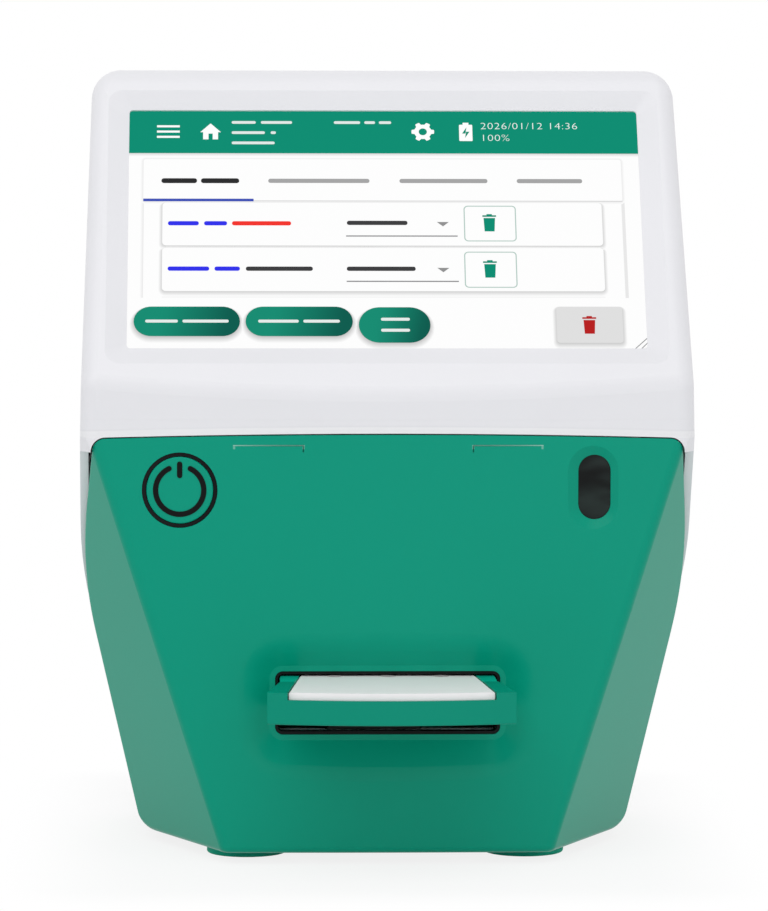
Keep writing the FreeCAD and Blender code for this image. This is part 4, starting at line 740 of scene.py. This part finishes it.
# half width, half height and corner radius of a bin's frame, outside and inside its line
FRAME_OUTSIDE, FRAME_INSIDE = (8.0, 6.5, 1.3), (7.65, 6.15, 1.0)
FRAMES = ((32.0, 1.8), (31.8, -14.9))
BIN_SIZE, BIN_SHIFT, GREY_BIN = 4.2, (-0.2, 0.25), (61.1, -34.6)
GREY_KEY = (51.2, 71.2, -40.9, -28.1)
GRIP_LINES = (((74.2, -43.3), (74.6, -43.3), (78.3, -39.6), (78.3, -39.2)),
              ((76.1, -43.3), (76.5, -43.3), (78.3, -41.31), (78.3, -40.91)))

# the plain numbers and how high each line stands, then their place, size, stretch and thinning
CLOCK = (("2026/01/12 14:36", 36.6), ("100%", 32.2))
DIGITS_LEFT, DIGITS_SIZE, DIGITS_WIDE, DIGITS_THIN = 29.8, 3.5, 1.15, -0.06
DIGITS_SHADE = (0.88, 0.96, 0.94)
# bars where words stand: the spans of a line and its height
HEAD_WORDS = ((((-46.8, -39.4), (-37.8, -28.2)), 39.0), (((-46.8, -36.6), (-34.8, -33.2)), 35.2),
              (((-46.8, -33.6),), 31.4), (((-15.3, -7.2), (-5.9, -2.6), (-1.4, 2.4)), 39.0))
OPEN_TAB_WORDS = ((-68.3, -57.4), (-56.2, -44.5))
TAB_WORDS, TAB_LINE = ((-35.6, -4.6), (4.6, 31.6), (40.6, 60.7)), 17.4
ROW_WORDS = (("blue", ((-66.2, -56.8), (-55.2, -48.2)), 1.8), ("red", ((-46.7, -28.7),), 1.8),
             ("blue", ((-66.2, -53.6), (-52.0, -44.3)), -14.6), ("ink", ((-42.5, -22.2),), -14.6),
             ("ink", ((-11.7, 6.8),), 2.0), ("ink", ((-11.9, 9.0),), -14.6))
# the green keys: left, right, low, high, the spans of their words and the heights of their lines
KEYS = ((-76.3, -44.3, -38.6, -28.1, ((-72.8, -63.0), (-61.6, -47.7)), (-33.3,)),
        (-42.6, -10.3, -38.6, -28.1, ((-38.8, -26.6), (-25.2, -14.2)), (-33.3,)),
        (-8.5, 13.1, -40.9, -28.3, ((-1.8, 6.9),), (-32.6, -36.5)))


class READER_OT_picture(bpy.types.Operator):
    """Lay the picture on the touch screen: heading, tabs, rows, marks and keys"""
    bl_idname = "reader.picture"
    bl_label = "Screen picture"

    def execute(self, context):
        look = context.scene.reader_screen
        glass = Glass("touch_glass")
        finish = shaded_ink()
        dress("touch_glass", self.under_glass(look))
        for name, draw in (("ground", self.ground), ("heading", self.heading), ("cards", self.cards),
                           ("marks", self.marks), ("words", self.lines_of_words), ("keys", self.keys)):
            sheet = Sheet("screen_" + name, glass, look.lift)
            draw(sheet, look)
            sheet.piece(finish)
        for number, (digits, up) in enumerate(CLOCK, 1):
            self.digits(f"screen_digits_{number}", digits, up, glass, look.lift * HEAD_DIGIT)
        return {"FINISHED"}

    def under_glass(self, look):
        """The glass where no picture lies on it: its hidden margin and its edges."""
        finish = Finish("glass_edge", darker(look.paper, 0.8), 0.12, coat=0.5)
        finish.set("Roughness", 0.1 + finish.noise(0.02) * 0.04)
        return finish

    def ground(self, sheet, look):
        sheet.box(-HALF_WIDE, HALF_WIDE, -HALF_HIGH, HALF_HIGH, GROUND, tuple(look.paper))

    def heading(self, sheet, look):
        """The green bar, and the shade that it throws on the page."""
        paper = tuple(look.paper)
        dark = darker(paper, 0.7)

        def fade_shade(x, up):
            return dark if up == BAR_FOOT else paper
        sheet.box(-HALF_WIDE, HALF_WIDE, BAR_FOOT, HALF_HIGH, BAR, tuple(look.bar))
        sheet.box(-HALF_WIDE, HALF_WIDE, FADE_FOOT, BAR_FOOT, FADE, fade_shade)

    def cards(self, sheet, look):
        """The tab card, the two rows and the top of a third."""
        paper = tuple(look.paper)
        edge, foot = darker(paper, 0.82), darker(paper, 0.9)

        def edge_shade(x, up):
            return paper if x < PAGE_LEFT else edge

        def foot_shade(x, up):
            return foot if up == PAGE_LOW else paper
        for left, right in ((PAGE_LEFT - EDGE_WIDE, PAGE_LEFT), (PAGE_RIGHT, PAGE_RIGHT + EDGE_WIDE)):
            sheet.box(left, right, PAGE_LOW, PAGE_HIGH, PAGE_EDGE, edge_shade)
        sheet.box(PAGE_LEFT, PAGE_RIGHT, PAGE_LOW, PAGE_HIGH, PAGE, paper)
        sheet.shadow(TAB_LEFT, TAB_RIGHT, TAB_SHADE_LOW, TAB_HIGH, TAB_CORNER, TAB_SHADE, paper,
                     depth=0.22, spread=0.9, drop=0.25)
        sheet.box(TAB_LEFT, TAB_RIGHT, TAB_LOW, TAB_HIGH, TAB_CARD, paper, TAB_CORNER)
        sheet.box(TAB_LEFT, TAB_RIGHT, TAB_RULE_LOW, PAGE_HIGH, TAB_RULE, toward(look.rule, paper, 0.55))
        for low, high in ROWS:
            sheet.shadow(ROW_LEFT, ROW_RIGHT, low, high, ROW_CORNER, ROW_SHADE, paper,
                         depth=0.42, spread=1.1, drop=0.7)
            sheet.box(ROW_LEFT, ROW_RIGHT, low, high, ROW_CARD, paper, ROW_CORNER)
        sheet.box(ROW_LEFT, ROW_RIGHT, PAGE_LOW, THIRD_ROW, ROW_SHADE, foot_shade)
        sheet.box(*OPEN_TAB, ROW_RULE, tuple(look.tab))
        for up in FIELD_FEET:
            sheet.box(FIELD_LEFT, FIELD_RIGHT, up - FIELD_HALF, up + FIELD_HALF, ROW_RULE, tuple(look.rule))

    def marks(self, sheet, look):
        """Menu, house, gear and battery in the heading; arrows, bins and their frames below."""
        bar = tuple(look.bar)
        for up in MENU_LINES:
            sheet.box(MENU_LEFT, MENU_RIGHT, up - MENU_HALF, up + MENU_HALF, HEAD_MARK, WHITE)
        house_mark(sheet, *HOUSE, HEAD_MARK, WHITE)
        gear_mark(sheet, *GEAR, HEAD_MARK, WHITE)
        battery_mark(sheet, *BATTERY, HEAD_MARK, WHITE, bar)
        pale = toward(bar, look.paper, 0.45)
        for x, up in FRAMES:
            outer, inner = (rounded(x - wide, x + wide, up - high, up + high, corner)
                            for wide, high, corner in (FRAME_OUTSIDE, FRAME_INSIDE))
            sheet.band(inner, outer, ROW_MARK, pale, pale)
            bin_mark(sheet, x + BIN_SHIFT[0], up + BIN_SHIFT[1], BIN_SIZE, ROW_MARK, bar)
        grey = toward(look.ink, look.paper, 0.25)
        for x, up in ARROWS:
            sheet.shape([(x + east, up + rise) for east, rise in ARROW], ROW_MARK, grey)
        for line in GRIP_LINES:
            sheet.shape(line, ROW_MARK, tuple(look.rule))

    def lines_of_words(self, sheet, look):
        """Bars where the screen's words stand."""
        thin, tall, bold = 1.0, 1.55, 1.8
        for spans, up in HEAD_WORDS:
            words(sheet, spans, up, thin, HEAD_MARK, toward(look.bar, WHITE, 0.78))
        words(sheet, OPEN_TAB_WORDS, TAB_LINE, bold, TAB_RULE, darker(look.ink, 0.5))
        words(sheet, TAB_WORDS, TAB_LINE, tall, TAB_RULE, toward(look.ink, WHITE, 0.35))
        for shade, spans, up in ROW_WORDS:
            words(sheet, spans, up, tall, ROW_MARK, tuple(getattr(look, shade)))

    def keys(self, sheet, look):
        """Three green keys that darken to the right, and the grey one with its bin."""
        paper, light, dark = tuple(look.paper), tuple(look.key_light), tuple(look.key_dark)
        thin, grey_corner = 1.05, 1.0
        for left, right, low, high, spans, lines in KEYS:
            sheet.shadow(left, right, low, high, (high - low) / 2, KEY_SHADE, paper,
                         depth=0.5, spread=1.3, drop=1.1)
            sheet.pill(left, right, low, high, KEY_FACE, sheen(left, right, low, light, dark))
            for up in lines:
                words(sheet, spans, up, thin, KEY_WORD, toward(light, WHITE, 0.8))
        sheet.shadow(*GREY_KEY, grey_corner, KEY_SHADE, paper, depth=0.45, spread=1.2, drop=1.0)
        sheet.box(*GREY_KEY, GREY_FACE, tuple(look.grey), grey_corner)
        bin_mark(sheet, *GREY_BIN, BIN_SIZE, GREY_MARK, tuple(look.brick))

    def digits(self, name, digits, up, glass, lift):
        """Plain numbers of the clock and the charge, set a little wide and thin."""
        curve = bpy.data.curves.new(name, "FONT")
        curve.body = digits
        curve.size = DIGITS_SIZE * MM
        curve.space_character = 1.06
        curve.offset = DIGITS_THIN * MM
        curve.resolution_u = 3
        text = bpy.data.objects.new(name, curve)
        bpy.context.scene.collection.objects.link(text)
        bpy.context.view_layer.update()
        mesh = bpy.data.meshes.new_from_object(text)
        bpy.data.objects.remove(text)
        bpy.data.curves.remove(curve)
        for vertex in mesh.vertices:
            across, rise = vertex.co.x / MM * DIGITS_WIDE, vertex.co.y / MM
            vertex.co = glass.spot(DIGITS_LEFT + across, up + rise, lift)
        mesh.name = name
        mesh.materials.clear()
        finish = ink(name + "_ink")
        finish.set("Emission Color", (*DIGITS_SHADE, 1.0))
        mesh.materials.append(finish.material)
        on_screen(name, mesh)


# how far before the cap the rays start that find its face
BEFORE_CAP = 0.01


class READER_OT_power_mark(bpy.types.Operator):
    """Set the broken ring and the short bar into the power button's cap"""
    bl_idname = "reader.power_mark"
    bl_label = "Power mark"

    def execute(self, context):
        look = context.scene.reader_mark
        low, high = (Vector(corner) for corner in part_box("power_cap"))
        middle = Vector(((low.x + high.x) / 2, low.y, (low.z + high.z) / 2))
        points, faces = [], []
        half = look.stroke / 2
        radius = look.ring - half
        self.stroke(points, faces, self.arc(radius, look.gap), half)
        self.stroke(points, faces, [(0.0, look.bar_foot + half), (0.0, look.bar_top - half)], half)
        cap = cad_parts["power_cap"]
        placed = []
        for x, z, raised in points:
            start = Vector((middle.x + x, low.y - BEFORE_CAP, middle.z + z))
            found, place, _, _ = cap.ray_cast(start, Vector((0, 1, 0)))
            if not found:
                raise RuntimeError("The power mark lies outside the cap")
            placed.append(place + Vector((0, -look.thick if raised else look.thick, 0)))
        mesh = bpy.data.meshes.new("power_mark")
        mesh.from_pydata(placed, [], faces)
        shell = context.scene.reader_shell
        black = darker(shell.charcoal, 0.35)
        finish = moulded("mark_black", black, shell, roughness=0.4, shine=shell.shine)
        mesh.materials.append(finish.material)
        piece = bpy.data.objects.new("power_mark", mesh)
        context.scene.collection.objects.link(piece)
        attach(piece, "power_button")
        return {"FINISHED"}

    def arc(self, radius, gap, steps=56):
        """Places along the broken ring, clockwise from the right side of the opening."""
        turns = [math.pi / 2 - gap - (math.tau - 2 * gap) * step / steps for step in range(steps + 1)]
        return [(radius * math.cos(turn), radius * math.sin(turn)) for turn in turns]

    def stroke(self, points, faces, line, half, cap_steps=8):
        """A bar of even width with round ends along a line: a raised face, a lower edge and sides."""
        def along(start, stop):
            return Vector((stop[0] - start[0], stop[1] - start[1]))

        def end(centre, start):
            turns = [start + math.pi * step / cap_steps for step in range(1, cap_steps)]
            return [(centre[0] + half * math.cos(turn), centre[1] + half * math.sin(turn)) for turn in turns]
        left, right = [], []
        for index, (x, z) in enumerate(line):
            run = along(line[max(index - 1, 0)], line[min(index + 1, len(line) - 1)]).normalized()
            left.append((x - run.y * half, z + run.x * half))
            right.append((x + run.y * half, z - run.x * half))
        first, last = along(line[0], line[1]), along(line[-2], line[-1])
        head = end(line[-1], math.atan2(last.y, last.x) - math.pi / 2)
        tail = end(line[0], math.atan2(first.y, first.x) + math.pi / 2)
        outline = right + head + left[::-1] + tail
        count, ring, base = len(line), len(outline), len(points)
        for raised in (True, False):
            points.extend((x, z, raised) for x, z in outline)
        far = base + ring - len(tail) - 1
        for i in range(count - 1):
            faces.append((base + i, base + i + 1, far - i - 1, far - i))
        faces.append(tuple(base + count - 1 + i for i in range(len(head) + 2)))
        faces.append((base, *(base + ring - 1 - i for i in range(len(tail) + 1))))
        for i in range(ring):
            j = (i + 1) % ring
            faces.append((base + i, base + ring + i, base + ring + j, base + j))


# each lamp: its name, where it stands, where it aims, the property that holds its power, how wide it is
LAMPS = (("key_lamp", (-0.80, -1.00, 1.45), (0.0, 0.0, 0.12), "key", 1.1),
         ("fill_lamp", (0.50, -1.70, 0.35), (0.0, 0.0, 0.08), "fill", 1.2),
         ("sky_lamp", (0.10, -0.75, 1.70), (0.0, -0.10, 0.05), "sky", 0.9))
CAMERA_X, CAMERA_Z, CAMERA_SIGHT = -0.045, 0.228, 60
CAMERA_TURNS = (90 - 4.0, -0.1, -1.66)  # in degrees
FLOOR_HALF = 6.0
FOOTPRINT = 0.8  # share of its greatest width that the reader has near the floor


class READER_OT_stage(bpy.types.Operator):
    """Set the floor, the soft lamps, the pale room and the camera"""
    bl_idname = "reader.stage"
    bl_label = "Stage"

    def execute(self, context):
        look = context.scene.reader_stage
        scene = context.scene
        self.floor(scene, look)
        self.world(scene, look)
        for name, place, aim, key, size in LAMPS:
            self.lamp(scene, name, place, aim, getattr(look, key), size)
        self.camera(scene, look)
        scene.view_settings.view_transform = "Standard"
        return {"FINISHED"}

    def floor(self, scene, look):
        """A pale floor that the camera sees as plain white but for the reader's shadow."""
        corners = [(x * FLOOR_HALF, y * FLOOR_HALF, 0) for x, y in ((-1, -1), (1, -1), (1, 1), (-1, 1))]
        mesh = bpy.data.meshes.new("floor")
        mesh.from_pydata(corners, [], [(0, 1, 2, 3)])
        finish = Finish("floor_white", tuple(look.floor), 0.7)
        east, north, _ = finish.axes()
        half_wide, half_deep, _ = CAD_BOX[1]
        beside = (abs(east) - half_wide * FOOTPRINT).maths("MAXIMUM", 0.0)
        before = (abs(north) - half_deep).maths("MAXIMUM", 0.0)
        away = (beside * beside + before * before).maths("SQRT").ramp(0.0, look.shade_reach)
        glow = finish.add("ShaderNodeEmission", {}, {"Color": WHITE, "Strength": 1.0})
        shader = Wire(finish, finish.shader.outputs[0])
        share_of_glow = finish.shown() * (look.glow + away * (1 - look.glow))
        both = finish.add("ShaderNodeMixShader", {}, {0: share_of_glow, 1: shader, 2: glow})
        finish.tree.links.new(both.socket, finish.tree.nodes["Material Output"].inputs["Surface"])
        mesh.materials.append(finish.material)
        floor = bpy.data.objects.new("floor", mesh)
        scene.collection.objects.link(floor)
        floor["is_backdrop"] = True

    def world(self, scene, look):
        """Plain white to the eye, in gloss and through glass, and softer as light."""
        world = bpy.data.worlds.new("pale_room")
        world.use_nodes = True
        scene.world = world
        room = Nodes(world.node_tree)
        level = look.room + room.shown() * (1 - look.room)
        background = room.tree.nodes["Background"]
        room.tree.links.new(level.socket, background.inputs["Strength"])
        background.inputs["Color"].default_value = (*WHITE, 1.0)

    def lamp(self, scene, name, place, aim, watts, size):
        data = bpy.data.lights.new(name, "AREA")
        data.energy, data.size = watts, size
        lamp = bpy.data.objects.new(name, data)
        lamp.location = place
        lamp.rotation_euler = (Vector(aim) - Vector(place)).to_track_quat("-Z", "Y").to_euler()
        scene.collection.objects.link(lamp)

    def camera(self, scene, look):
        data = bpy.data.cameras.new("camera")
        data.lens = look.lens
        camera = bpy.data.objects.new("camera", data)
        camera.location = (CAMERA_X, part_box("front_cover")[0][1] - look.camera, CAMERA_Z)
        camera.rotation_euler = [math.radians(turn) for turn in CAMERA_TURNS]
        data.clip_end = CAMERA_SIGHT
        scene.collection.objects.link(camera)
        scene.camera = camera


OPERATORS = (READER_OT_stage, READER_OT_shell, READER_OT_drawer, READER_OT_inside, READER_OT_picture,
             READER_OT_power_mark)
LOOKS = {"reader_shell": ShellLook, "reader_screen": ScreenLook, "reader_mark": MarkLook,
         "reader_stage": StageLook}


class READER_PT_panel(bpy.types.Panel):
    """The reader's looks and the steps that make them"""
    bl_idname = "READER_PT_panel"
    bl_label = "Test reader"
    bl_space_type = "VIEW_3D"
    bl_region_type = "UI"
    bl_category = "Reader"

    def draw(self, context):
        for name in LOOKS:
            group = getattr(context.scene, name)
            column = self.layout.box().column()
            for key in group.__annotations__:
                column.prop(group, key)
        for step in OPERATORS:
            self.layout.operator(step.bl_idname)


def register():
    for kind in (*LOOKS.values(), *OPERATORS, READER_PT_panel):
        bpy.utils.register_class(kind)
    for name, kind in LOOKS.items():
        setattr(bpy.types.Scene, name, PointerProperty(type=kind))


def unregister():
    for name in LOOKS:
        delattr(bpy.types.Scene, name)
    for kind in (READER_PT_panel, *reversed(OPERATORS), *reversed(tuple(LOOKS.values()))):
        bpy.utils.unregister_class(kind)


def plain(box):
    return [[float(value) for value in corner] for corner in box]


def main():
    register()
    for step in OPERATORS:
        group, name = step.bl_idname.split(".")
        getattr(getattr(bpy.ops, group), name)()
    {"cad": plain(CAD_BOX), "visual": plain(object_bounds())}


if __name__ == "__main__":
    main()
